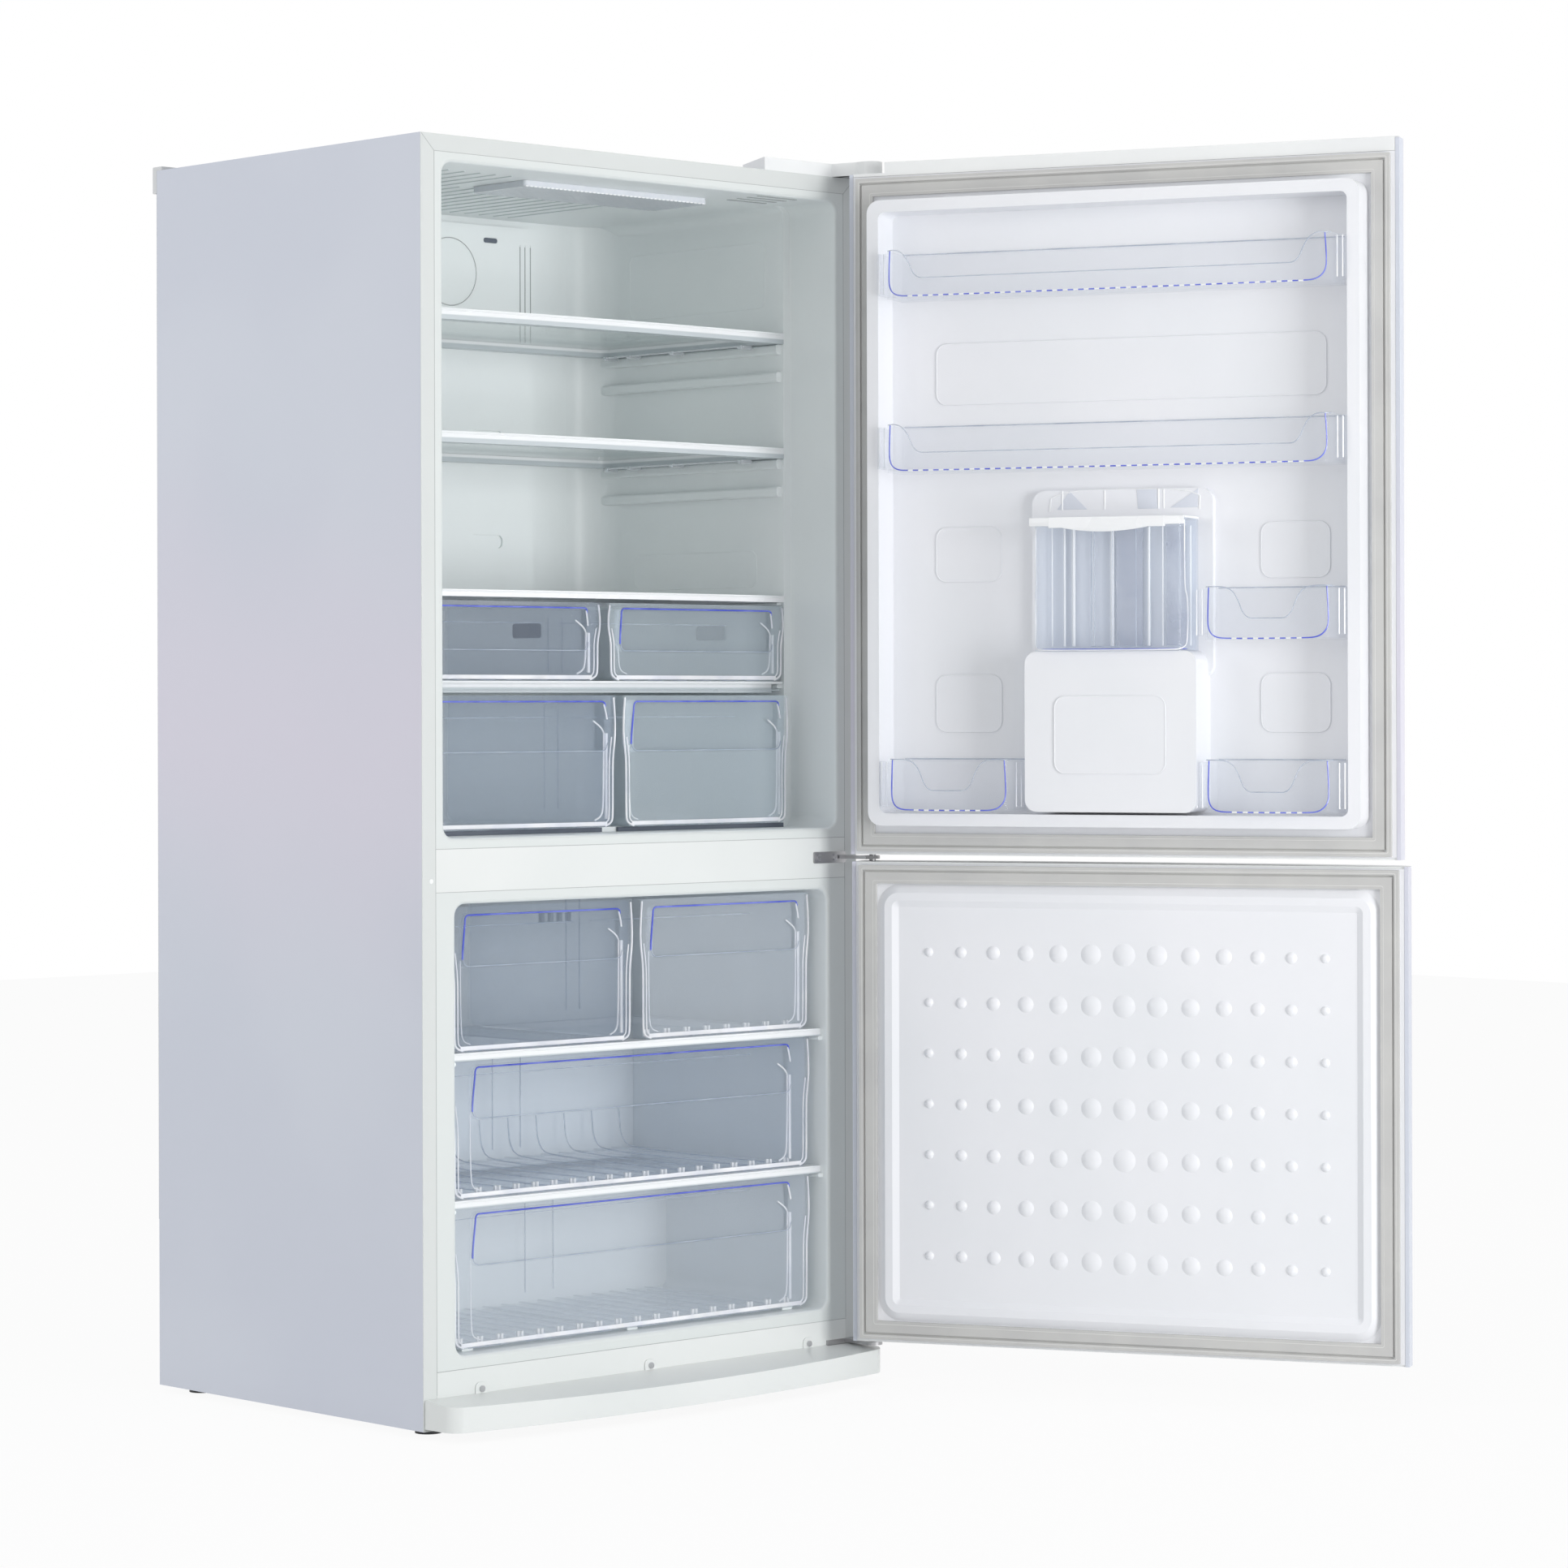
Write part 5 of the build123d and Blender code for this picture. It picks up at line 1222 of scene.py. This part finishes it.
@dataclass
class Balcony(DoorPart):
    """Edges of one clear door shelf.

    The span is along u, the front is the front wall's v, and the margin is what the
    front wall keeps of its full height at each end before it dips.
    """

    name: str
    node: str
    span: tuple[float, float]
    heights: tuple[float, float]
    front: float
    margin: float
    dip_share: float = 0.6
    slat_pitch: float = 16.0

    def build(self) -> None:
        """Adds the rim, the lips, the painted highlights at the ends and the slats."""
        self._rim()
        self._lips()
        self._end_highlights()
        self._slats()

    def _at(self, u: float, z: float, proud: float = 0.6) -> Vector:
        """Point just in front of the tray's front wall, at u from the hinge side and height z."""
        eye = (self.front + 80.0, self.heights[0] + 12.0)
        return self.in_front_of(self.node, u, z, proud, eye)

    def _rim(self) -> None:
        """Blue rim with rounded lower corners."""
        (u0, u1), (z0, z1) = self.span, self.heights
        side = [(10, z1 - 1), (8, z0 + 34), (9, z0 + 15), (20, z0 + 3), (44, z0 + 1.5)]
        rim = [(u0 + u, z) for u, z in side] + [(u1 - u, z) for u, z in reversed(side)]
        path = [self._at(u, z) for u, z in smooth(rim, 3)]
        self.beads(f"{self.name}_rim", [(path, 1.0)], self.shop.finishes.blue_edge)

    def _lips(self) -> None:
        """Upper edge of the dipped front wall and that of the rear wall."""
        (u0, u1), (z0, z1) = self.span, self.heights
        dip = z1 - self.dip_share * (z1 - z0)
        m = self.margin
        side = [(4, z1), (m - 6, z1), (m + 8, z1 - 12), (m + 20, dip), (m + 44, dip)]
        lip = [(u0 + u, z) for u, z in side] + [(u1 - u, z) for u, z in reversed(side)]
        front = [self._at(u, z, -0.9) for u, z in smooth(lip, 3)]
        rear = [self.door.place(u, -17.5, z1) for u in (u0 + 3, (u0 + u1) / 2, u1 - 3)]
        self.beads(f"{self.name}_lips", [(front, 0.75), (rear, 0.8)], self.shop.finishes.soft_edge)

    def _end_highlights(self) -> None:
        """Double edges at both ends, coloured as painted highlights."""
        (u0, u1), (z0, z1) = self.span, self.heights
        end_highlights = []
        for u in (u0 - 12.0, u0 - 4.0, u1 + 4.0, u1 + 12.0):
            end_highlights.append(([self.door.place(u, self.front - 17.0, z) for z in (z0 + 7, z1 - 4)], 1.1))
        self.beads(f"{self.name}_end_highlights", end_highlights, self.shop.finishes.clear_edge_highlight)

    def _slats(self) -> None:
        """Row of short bright dashes along the foot."""
        (u0, u1), z0 = self.span, self.heights[0]
        count = int((u1 - u0 - 70) // self.slat_pitch)
        marks = []
        for i in range(count):
            u = (u0 + u1) / 2 + (i - (count - 1) / 2) * self.slat_pitch
            marks.append(([self._at(u + s, z0 + 1.7, 0.9) for s in (-3.6, 3.6)], 1.25))
        self.beads(f"{self.name}_slats", marks, self.shop.finishes.trim)


@dataclass
class Balconies(DoorPart):
    """The two long and three small door shelves."""

    long_span: tuple[float, float] = (80.3, 759.7)
    hinge_span: tuple[float, float] = (80.3, 274.7)
    free_span: tuple[float, float] = (565.3, 759.7)
    long_height: float = 70.0
    small_height: float = 76.0

    def build(self) -> None:
        """Adds the pieces of each shelf."""
        for node, low in (("upper_long_balcony", 1612.0), ("lower_long_balcony", 1356.0)):
            heights = (low, low + self.long_height)
            self._shelf(node, node, self.long_span, heights, 64.0, 30.0)
        smalls = (
            ("hinge_side_balcony", self.hinge_span, 858.0),
            ("free_side_low_balcony", self.free_span, 858.0),
            ("free_side_high_balcony", self.free_span, 1106.0),
        )
        for name, span, low in smalls:
            heights = (low, low + self.small_height)
            self._shelf(name, "small_balconies", span, heights, 58.0, 44.0)

    def _shelf(self, *sizes: object) -> None:
        """Adds the pieces of one shelf from its name, node and sizes."""
        Balcony(self.shop, self.probe, self.door, *sizes).build()


@dataclass
class LinerFields(DoorPart):
    """Ridges round the raised fields of the door liner."""

    corner: float = 16.0
    panel: float = -19.0
    column: float = 51.0

    def build(self) -> None:
        """Adds the ridges."""
        fields = [
            ((134.0, 1458.0), (729.0, 1548.0), self.panel),
            ((341.0, 914.0), (509.0, 1026.0), self.column),
        ]
        for u in (133.0, 632.0):
            fields.append(((u, 974.0), (u + 102.0, 1058.0), self.panel))
            fields.append(((u, 1196.0), (u + 102.0, 1276.0), self.panel))
        ridges = []
        for low, high, v in fields:
            outline = rounded(low, high, self.corner)
            ridges.append(([self.door.place(u, v, z) for u, z in outline], 0.9))
        finish = self.shop.finishes.door_liner
        self.beads("fridge_door_field_ridges", ridges, finish, Slot.LINER, closed=True)


@dataclass
class WaterTank(DoorPart):
    """Rim, painted reflection streaks and fields of painted shade, inner grip column and foot of the
    water tank, and the apron of its lid.
    """

    streak_heights: tuple[float, float, float] = (1099.0, 1185.0, 1272.0)
    column_heights: tuple[float, float] = (1098.0, 1272.0)
    column_centre: tuple[float, float] = (425.0, -3.0)
    column_radii: tuple[float, float] = (45.0, 38.0)

    def build(self) -> None:
        """Adds the tank's pieces, then the lid's."""
        self._rim()
        self._reflection_streaks()
        self._column()
        self._foot()
        self._lid()

    def _rim(self) -> None:
        """Edge round the front of the tank, coloured as a painted highlight."""
        middle = self.column_centre[0]
        side = [(113, 1279), (113, 1180), (115.6, 1170), (115.6, 1112), (114, 1094), (93, 1092.4)]
        rim = [(middle - a, z) for a, z in side] + [(middle + a, z) for a, z in reversed(side)]
        front = [self.in_front_of("water_tank", u, z, 0.3, (140.0, 1180.0)) for u, z in smooth(rim)]
        self.beads("tank_rim_highlight", [(front, 1.0)], self.shop.finishes.clear_edge_highlight)

    def _reflection_streaks(self) -> None:
        """Upright white streaks behind the tank that paint its reflections, and fields of painted shade
        between them.
        """
        bars = ((320, 1.0), (339, 1.8), (353, 3.0), (384, 0.9))
        bars += ((412, 3.2), (468, 2.4), (489, 1.2), (531, 1.6))
        reflection_streaks = []
        for u, radius in bars:
            reflection_streaks.append(([self.door.place(u, -2.0, z) for z in self.streak_heights], radius))
        self.beads("tank_reflection_streaks", reflection_streaks, self.shop.finishes.trim)
        low, high = self.streak_heights[0], self.streak_heights[-1]
        shades = []
        for start, end in ((418.0, 458.0), (494.0, 524.0)):
            corners = ((start, low), (end, low), (end, high), (start, high))
            base = [self.door.place(u, -4.0, z) for u, z in corners]
            shades.append((base, self.door.outward() * 0.8))
        self.plates("tank_shades", shades, self.shop.finishes.tank_shade)

    def _on_column(self, angle: float, z: float) -> Vector:
        """Point of the inner grip column.

        Args:
            angle: Its place round the half column in radians.
            z: Its height.

        Returns:
            The point.
        """
        (u, v), (wide, deep) = self.column_centre, self.column_radii
        return self.door.place(u + wide * math.cos(angle), v + deep * math.sin(angle), z)

    def _column(self) -> None:
        """Edges of the half round column inside the tank."""
        column = []
        for z in self.column_heights:
            column.append(([self._on_column(a, z) for a in spread(0.0, math.pi, 15)], 0.6))
        for a in spread(0.0, math.pi, 5):
            column.append(([self._on_column(a, z) for z in self.column_heights], 0.7))
        self.beads("tank_inner_column", column, self.shop.finishes.soft_edge)

    def _foot(self) -> None:
        """Blue ring round the foot of the tank."""
        foot = [self.door.place(u, v, 1094.0) for u, v in rounded((318.0, 0.0), (532.0, 56.0), 20.0)]
        self.beads("tank_foot", [(foot, 0.8)], self.shop.finishes.blue_edge, closed=True)

    def _lid(self) -> None:
        """Waved front apron of the tank lid."""
        wave = [(308.0, 1284.2), (308.0, 1272.5), (345.0, 1272.0), (380.0, 1265.0), (425.0, 1262.5)]
        wave += [(470.0, 1266.0), (500.0, 1272.0), (542.0, 1272.5), (542.0, 1284.2)]
        outline = [self.door.place(u, 63.8, z) for u, z in [wave[0], *smooth(wave[1:-1]), wave[-1]]]
        apron = [(outline, self.door.outward() * 2.6)]
        trim = self.shop.finishes.trim
        self.shop.plates("tank_lid_apron", apron, 0.8, trim, Body.TANK_FLAP, Slot.TRIM)


@dataclass
class Funnel(DoorPart):
    """Facets of the filling funnel above the tank, as low plates of painted shade, and its edges."""

    low: float = 1298.0
    high: float = 1326.0

    def build(self) -> None:
        """Adds the painted shade of the facets and the edges."""
        facets = (
            ((345.0, self.high), (326.0, 1299.0), (372.0, 1299.0)),
            ((541.0, self.high), (499.0, 1299.0), (540.0, 1299.0)),
            ((448.0, self.high), (478.0, self.high), (480.0, self.low), (450.0, self.low)),
        )
        rise = self.door.outward() * 0.9
        plates = [([self._at(u, z, -0.2) for u, z in facet], rise) for facet in facets]
        self.plates("funnel_facet_shades", plates, self.shop.finishes.facet_shade, Slot.LINER)
        frame_line = [(314.0, 1296.0), (318.0, 1328.0), (544.0, 1328.0), (543.0, 1296.0)]
        edges = [([self._at(u, z) for u, z in smooth(frame_line)], 1.1)]
        for u, radius in ((334.0, 1.3), (399.0, 1.2), (481.0, 1.3), (489.0, 1.0)):
            edges.append(([self._at(u, z) for z in spread(self.low, self.high, 3)], radius))
        self.beads("funnel_edges", edges, self.shop.finishes.trim, Slot.LINER)

    def _at(self, u: float, z: float, proud: float = 0.1) -> Vector:
        """Point just in front of the door liner, at u from the hinge side and height z."""
        return self.in_front_of("fridge_door_liner", u, z, proud, (140.0, z))


@dataclass
class DoorSeal:
    """Mitres and lips of one door seal, the lips a little lighter than the seal as a painted highlight.

    Low, high, near and far are its outer edges in the door's own coordinates.
    """

    shop: Workshop
    probe: Probe
    name: str
    door: Door
    body: Body
    low: float
    high: float
    near: float = 12.5
    far: float = 827.5
    corner: float = 3.0
    lip_insets: tuple[float, float] = (4.5, 22.5)

    def build(self) -> None:
        """Adds the lines of the seal."""
        f = self.shop.finishes
        face = self._face()
        mitres = []
        for u, away in ((self.near, 1.0), (self.far, -1.0)):
            for z, up in ((self.low, 1.0), (self.high, -1.0)):
                ends = [(u + away * run, z + up * run) for run in (1.0, 26.0)]
                mitres.append(([self.door.place(a, face - 0.4, b) for a, b in ends], 0.45))
        self.shop.beads(f"{self.name}_seal_mitres", mitres, f.seam, self.body, Slot.SEAL)
        lips = []
        for inset in self.lip_insets:
            box = ((self.near + inset, self.low + inset), (self.far - inset, self.high - inset))
            outline = rounded(*box, self.corner)
            lips.append(([self.door.place(a, face - 0.75, b) for a, b in outline], 0.9))
        self.shop.beads(f"{self.name}_seal_lips", lips, f.seal_lip_highlight, self.body, Slot.SEAL, closed=True)

    def _face(self) -> float:
        """Depth of the seal's face in door coordinates.

        Returns:
            The depth.
        """
        out = self.door.outward()
        z = (self.low + self.high) / 2
        met = self.probe.hit(f"{self.name}_door_gasket", self.door.place(26.0, 60.0, z), -out)
        return (met - self.door.place(26.0, 0.0, z)).dot(out)


@dataclass
class CabinetPart:
    """Something fixed to the cabinet."""

    shop: Workshop
    probe: Probe

    def beads(
        self,
        name: str,
        paths: Iterable[Bead],
        finish: Finish,
        slot: Slot = Slot.LINER,
        closed: bool = False,
    ) -> None:
        """Hangs beads on the cabinet.

        Args:
            name: Name of the piece.
            paths: Points and radius of each bead.
            finish: Their material.
            slot: Material slot of the record.
            closed: Whether each path returns to its start.
        """
        self.shop.beads(name, paths, finish, Body.CABINET, slot, closed)

    def plates(
        self, name: str, outlines: Iterable[Plate], bevel: float, finish: Finish, slot: Slot
    ) -> None:
        """Hangs plates on the cabinet.

        Args:
            name: Name of the piece.
            outlines: Points of each base and the way up to its top.
            bevel: Width of the softened edge.
            finish: Their material.
            slot: Material slot of the record.
        """
        self.shop.plates(name, outlines, bevel, finish, Body.CABINET, slot)


@dataclass
class FrontFrame(CabinetPart):
    """Folds and joints of the painted front frame."""

    depth: float = -309.75
    inner: float = 396.0
    outer: float = 419.0
    top: float = 1784.0

    def build(self) -> None:
        """Adds the lines of the folds and joints."""
        x, y, top = self.inner, self.depth, self.top
        lines = [((-x, 58), (-x, top)), ((x, 92), (x, top)), ((-x, top), (x, top))]
        lines += [((side * self.outer, 1807), (side * x, top)) for side in (-1, 1)]
        lines += [((-x, z), (x, z)) for z in (815.2, 754.8, 90.2)]
        paths = [([Vector((a, y, b)), Vector((c, y, d))], 0.55) for (a, b), (c, d) in lines]
        self.beads("front_frame_seams", paths, self.shop.finishes.seam, Slot.FRONT)


@dataclass
class FramePlug(CabinetPart):
    """Round plug on the left of the front frame, beside the middle rail."""

    centre: tuple[float, float, float] = (-404.0, -309.8, 771.0)
    radius: float = 3.4
    proud: float = 0.6

    def build(self) -> None:
        """Adds the plug."""
        plug = [(front_circle(*self.centre, self.radius, 16), BACK * -self.proud)]
        self.plates("frame_plug", plug, 0.25, self.shop.finishes.pale_plastic, Slot.TRIM)


@dataclass
class Ceiling(CabinetPart):
    """Ribs, slots and lamp prisms of the cabin ceiling, the ribs and slots coloured as painted shade.

    The ribs left of the lamp start nearer to the front than those behind it.
    """

    ribs: int = 18
    rib_start: float = -338.0
    rib_pitch: float = 29.0
    rib_end: float = 186.0
    lamp_edge: float = -165.0
    beside_lamp: float = -236.0
    behind_lamp: float = -84.0
    slots: int = 4
    slot_start: float = -290.0
    slot_pitch: float = 22.0
    prisms: int = 44
    prism_start: float = -146.0
    prism_pitch: float = 8.0

    def build(self) -> None:
        """Adds the ribs, the slots and the prisms."""
        self._ribs()
        self._slots()
        self._prisms()

    def _height(self, x: float, y: float) -> float:
        """Height of the ceiling over a point."""
        return self.probe.hit("fridge_liner", Vector((x, y, 1700.0)), UP).z

    def _ribs(self) -> None:
        """Ribs from the lamp to the rear, a little darker than the liner as painted shade."""
        ribs = []
        for i in range(self.ribs):
            x = self.rib_start + i * self.rib_pitch
            near = self.beside_lamp if x < self.lamp_edge else self.behind_lamp
            run = spread(near, self.rib_end, 5)
            ribs.append(([Vector((x, y, self._height(x, y) + 0.5)) for y in run], 1.7))
        self.beads("ceiling_ribs", ribs, self.shop.finishes.rib_shade)

    def _slots(self) -> None:
        """Slots near the right wall, drawn as grey plates of painted shade."""
        slots = []
        for i in range(self.slots):
            y = self.slot_start + i * self.slot_pitch
            corners = rounded((238.0, y - 4.0), (318.0, y + 4.0), 3.9)
            outline = [Vector((a, b, self._height(a, b) + 0.2)) for a, b in corners]
            slots.append((outline, UP * -0.7))
        self.plates("ceiling_slot_shades", slots, 0.0, self.shop.finishes.seam, Slot.LINER)

    def _prisms(self) -> None:
        """Row of short bright prisms along the lower front edge of the lens."""
        dashes = []
        for i in range(self.prisms):
            x = self.prism_start + i * self.prism_pitch
            face = self.probe.hit("cabin_lamp", Vector((x, -400.0, 1764.0)), BACK).y
            dashes.append(([Vector((x + s, face + 0.6, 1762.4)) for s in (-2.2, 2.2)], 1.1))
        self.beads("lamp_prisms", dashes, self.shop.finishes.trim, Slot.LENS)


@dataclass
class DuctCover(CabinetPart):
    """Ring of the rear air duct cover, with painted shade in its slot and grooves."""

    ring_centre: tuple[float, float] = (59.0, 1683.0)
    ring_radius: float = 52.2
    grooves: tuple[float, ...] = (-221.0, -210.0, -200.0, 200.0, 210.0, 221.0)
    groove_heights: tuple[float, ...] = (1572.0, 1650.0, 1730.0)

    def build(self) -> None:
        """Adds the three pieces."""
        f = self.shop.finishes
        face = self.probe.hit("fridge_air_duct", Vector((80.0, 0.0, 1600.0)), BACK).y
        x, z = self.ring_centre
        ring = front_circle(x, face, z, self.ring_radius, 40)
        self.beads("duct_ring", [(ring, 0.8)], f.seam, closed=True)
        grooves = []
        for x in self.grooves:
            grooves.append(([Vector((x, face + 0.3, z)) for z in self.groove_heights], 0.9))
        self.beads("duct_groove_shades", grooves, f.seam)
        outline = rounded((126.4, 1732.4), (153.6, 1739.6), 3.4)
        slot = [([Vector((x, face - 0.1, z)) for x, z in outline], BACK * 0.5)]
        self.plates("duct_slot_shade", slot, 0.0, f.slot_shade, Slot.DARK)


@dataclass
class ShelfTrims(CabinetPart):
    """Noses of the shelves and bars, and the strip of painted shade under the lower crispers."""

    end_inset: float = 8.0
    strip_depths: tuple[float, float] = (-226.0, -222.0)
    strip_base: float = 830.1
    strip_height: float = 6.4

    def build(self) -> None:
        """Adds the strip of painted shade and the noses."""
        self._strip()
        self._noses()

    def _strip(self) -> None:
        """Dark strip on the cabin floor under the fronts of the lower crispers, painting the shade in the
        gap beneath them.
        """
        near, far = self.strip_depths
        strips = []
        for start, end in ((-349.0, -16.0), (16.0, 349.0)):
            corners = ((start, near), (end, near), (end, far), (start, far))
            base = [Vector((x, y, self.strip_base)) for x, y in corners]
            strips.append((base, UP * self.strip_height))
        self.plates("crisper_gap_shade", strips, 0.3, self.shop.finishes.slot_shade, Slot.DARK)

    def _noses(self) -> None:
        """Bright rounded nose along the front edge of each shelf and cover."""
        rows = (
            ("shelf_frames", 1575.0),
            ("shelf_frames", 1401.0),
            ("crisper_cover", 1177.5),
            ("crisper_divider", 1047.0),
            ("crisper_divider", 1037.0),
            ("freezer_crossbars", 525.5),
            ("freezer_crossbars", 319.5),
        )
        noses = []
        for node, z in rows:
            low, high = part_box(node)
            path = []
            for x in spread(low[0] / MM + self.end_inset, high[0] / MM - self.end_inset, 15):
                face = self.probe.hit(node, Vector((x, -400.0, z)), BACK).y
                path.append(Vector((x, face - 0.4, z)))
            noses.append((path, 0.9))
        self.beads("shelf_noses", noses, self.shop.finishes.rail, Slot.TRIM)


@dataclass
class WallFields(CabinetPart):
    """Faint embossed fields on the right wall."""

    corner: float = 14.0

    def build(self) -> None:
        """Adds the ridges round the fields."""
        ridges = []
        for low, high in (((-170.0, 1620.0), (140.0, 1720.0)), ((-150.0, 1195.0), (130.0, 1250.0))):
            path = []
            for y, z in rounded(low, high, self.corner):
                met = self.probe.hit("fridge_liner", Vector((200.0, y, z)), RIGHT)
                path.append(met + RIGHT * 0.3)
            ridges.append((path, 0.9))
        self.beads("right_wall_fields", ridges, self.shop.finishes.liner, closed=True)


@dataclass(frozen=True)
class PhotoCamera:
    """Camera of the photograph, with its place in metres and its lengths in pixels."""

    pixels: int = 1932
    focal: float = 5556.6
    centre_row: float = 869.86
    yaw: float = math.radians(43.57)
    roll: float = math.radians(-0.14)
    eye: tuple[float, float, float] = (-4.35301, -5.17051, 1.01288)
    sensor_mm: float = 36.0
    reach: float = 60.0

    def build(self) -> None:
        """Adds the camera and looks through it."""
        lens = bpy.data.cameras.new("photo_camera")
        lens.sensor_width = self.sensor_mm
        lens.lens = self.sensor_mm * self.focal / self.pixels
        lens.shift_y = (self.centre_row - self.pixels / 2) / self.pixels
        lens.clip_end = self.reach
        camera = bpy.data.objects.new("photo_camera", lens)
        ahead = Vector((math.sin(self.yaw), math.cos(self.yaw), 0.0))
        level = Vector((math.cos(self.yaw), -math.sin(self.yaw), 0.0))
        side = level * math.cos(self.roll) + UP * math.sin(self.roll)
        up = UP * math.cos(self.roll) - level * math.sin(self.roll)
        turn = Matrix((side, up, -ahead)).transposed().to_4x4()
        camera.matrix_world = Matrix.Translation(Vector(self.eye)) @ turn
        bpy.context.scene.collection.objects.link(camera)
        bpy.context.scene.camera = camera


@dataclass(frozen=True)
class SoftLamp:
    """Square soft lamp, in metres and watts."""

    name: str
    place: tuple[float, float, float]
    aim: tuple[float, float, float]
    size: float
    watts: float

    def build(self) -> None:
        """Hangs the lamp and aims it."""
        lamp = bpy.data.lights.new(self.name, "AREA")
        lamp.shape = "SQUARE"
        lamp.size = self.size
        lamp.energy = self.watts
        holder = bpy.data.objects.new(self.name, lamp)
        holder.location = self.place
        ray = Vector(self.aim) - Vector(self.place)
        holder.rotation_euler = ray.to_track_quat("-Z", "Y").to_euler()
        bpy.context.scene.collection.objects.link(holder)


@dataclass(frozen=True)
class Studio:
    """White floor, soft lights and the photograph's camera."""

    floor_half: float = 9.0
    floor_grey: float = 0.86
    floor_white_share: float = 0.92
    sky_strength: float = 0.6

    def build(self) -> None:
        """Adds everything that isn't part of the refrigerator."""
        PhotoCamera().build()
        self._floor()
        self._world()
        SoftLamp("front_light", (0.3, -6.0, 1.0), (0.0, 0.0, 0.9), 2.0, 150.0).build()
        SoftLamp("side_light", (-4.5, 1.2, 2.2), (-0.3, 0.0, 0.9), 2.2, 50.0).build()
        SoftLamp("top_light", (0.0, -1.5, 4.8), (0.0, -0.4, 0.6), 3.5, 10.0).build()

    @staticmethod
    def _over_white(
        graph: Graph, lit: bpy.types.NodeSocket, white: bpy.types.Node, share: float
    ) -> None:
        """Shows white to the eye and in reflections, over a share of the lit surface.

        Args:
            graph: The tree of the floor or the world.
            lit: The surface as the lamps light it.
            white: Node that shows plain white.
            share: How much of the white is seen.
        """
        path = graph.node("LightPath").outputs
        seen = Expr(graph, path["Is Camera Ray"]) + Expr(graph, path["Is Glossy Ray"])
        seen = (seen + Expr(graph, path["Is Transmission Ray"])) * share
        mix = graph.node("MixShader", values={0: seen, 1: lit, 2: white.outputs[0]})
        kind = "OUTPUT_WORLD" if white.type == "BACKGROUND" else "OUTPUT_MATERIAL"
        graph.feed(graph.find(kind).inputs["Surface"], mix.outputs[0])

    def _floor(self) -> None:
        """Wide white floor that keeps the shadow."""
        mesh = bpy.data.meshes.new("studio_floor")
        grid = bmesh.new()
        bmesh.ops.create_grid(grid, x_segments=8, y_segments=8, size=self.floor_half)
        grid.to_mesh(mesh)
        grid.free()
        floor = bpy.data.objects.new("studio_floor", mesh)
        bpy.context.scene.collection.objects.link(floor)
        finish = Finish("studio_floor")
        finish.set(Base_Color=(self.floor_grey, self.floor_grey, self.floor_grey, 1.0), Roughness=0.9)
        white = finish.node("Emission", values={"Strength": 1.0})
        self._over_white(finish, finish.shader.outputs[0], white, self.floor_white_share)
        mesh.materials.append(finish.material)

    def _world(self) -> None:
        """Even light from all round, white behind the object."""
        world = bpy.data.worlds.new("studio_world")
        bpy.context.scene.world = world
        world.use_nodes = True
        graph = Graph(world.node_tree)
        soft = graph.find("BACKGROUND")
        graph.feed(soft.inputs["Color"], WHITE)
        graph.feed(soft.inputs["Strength"], self.sky_strength)
        plain = graph.node("Background", values={"Color": WHITE, "Strength": 1.0})
        self._over_white(graph, soft.outputs[0], plain, 1.0)


def main() -> None:
    """Builds the scene in order."""
    logging.basicConfig(level=logging.INFO, format="%(name)s: %(message)s")
    bpy.context.scene.view_settings.view_transform = "Standard"
    bpy.context.scene.cycles.transparent_max_bounces = CLEAR_LAYERS
    finishes = Finishes()
    Dressing(finishes).apply()
    log.info("finishes on %d CAD nodes", len(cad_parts))
    shop = Workshop(finishes)
    probe = Probe()
    fridge, freezer = Door(FRIDGE_DOOR_OPEN), Door(FREEZER_DOOR_OPEN)
    parts = (
        Drawers(shop, probe),
        Balconies(shop, probe, fridge),
        LinerFields(shop, probe, fridge),
        WaterTank(shop, probe, fridge),
        Funnel(shop, probe, fridge),
        DoorSeal(shop, probe, "fridge", fridge, Body.FRIDGE_DOOR, 796.5, 1797.0),
        DoorSeal(shop, probe, "freezer", freezer, Body.FREEZER_DOOR, 71.3, 775.8),
        FrontFrame(shop, probe),
        Ceiling(shop, probe),
        DuctCover(shop, probe),
        ShelfTrims(shop, probe),
        WallFields(shop, probe),
        FramePlug(shop, probe),
    )
    for part in parts:
        before = len(shop.made)
        part.build()
        for piece in shop.made[before:]:
            log.info("%s: %s", type(part).__name__, piece.name)
    Studio().build()
    log.info("sizes written")


if __name__ == "__main__":
    main()
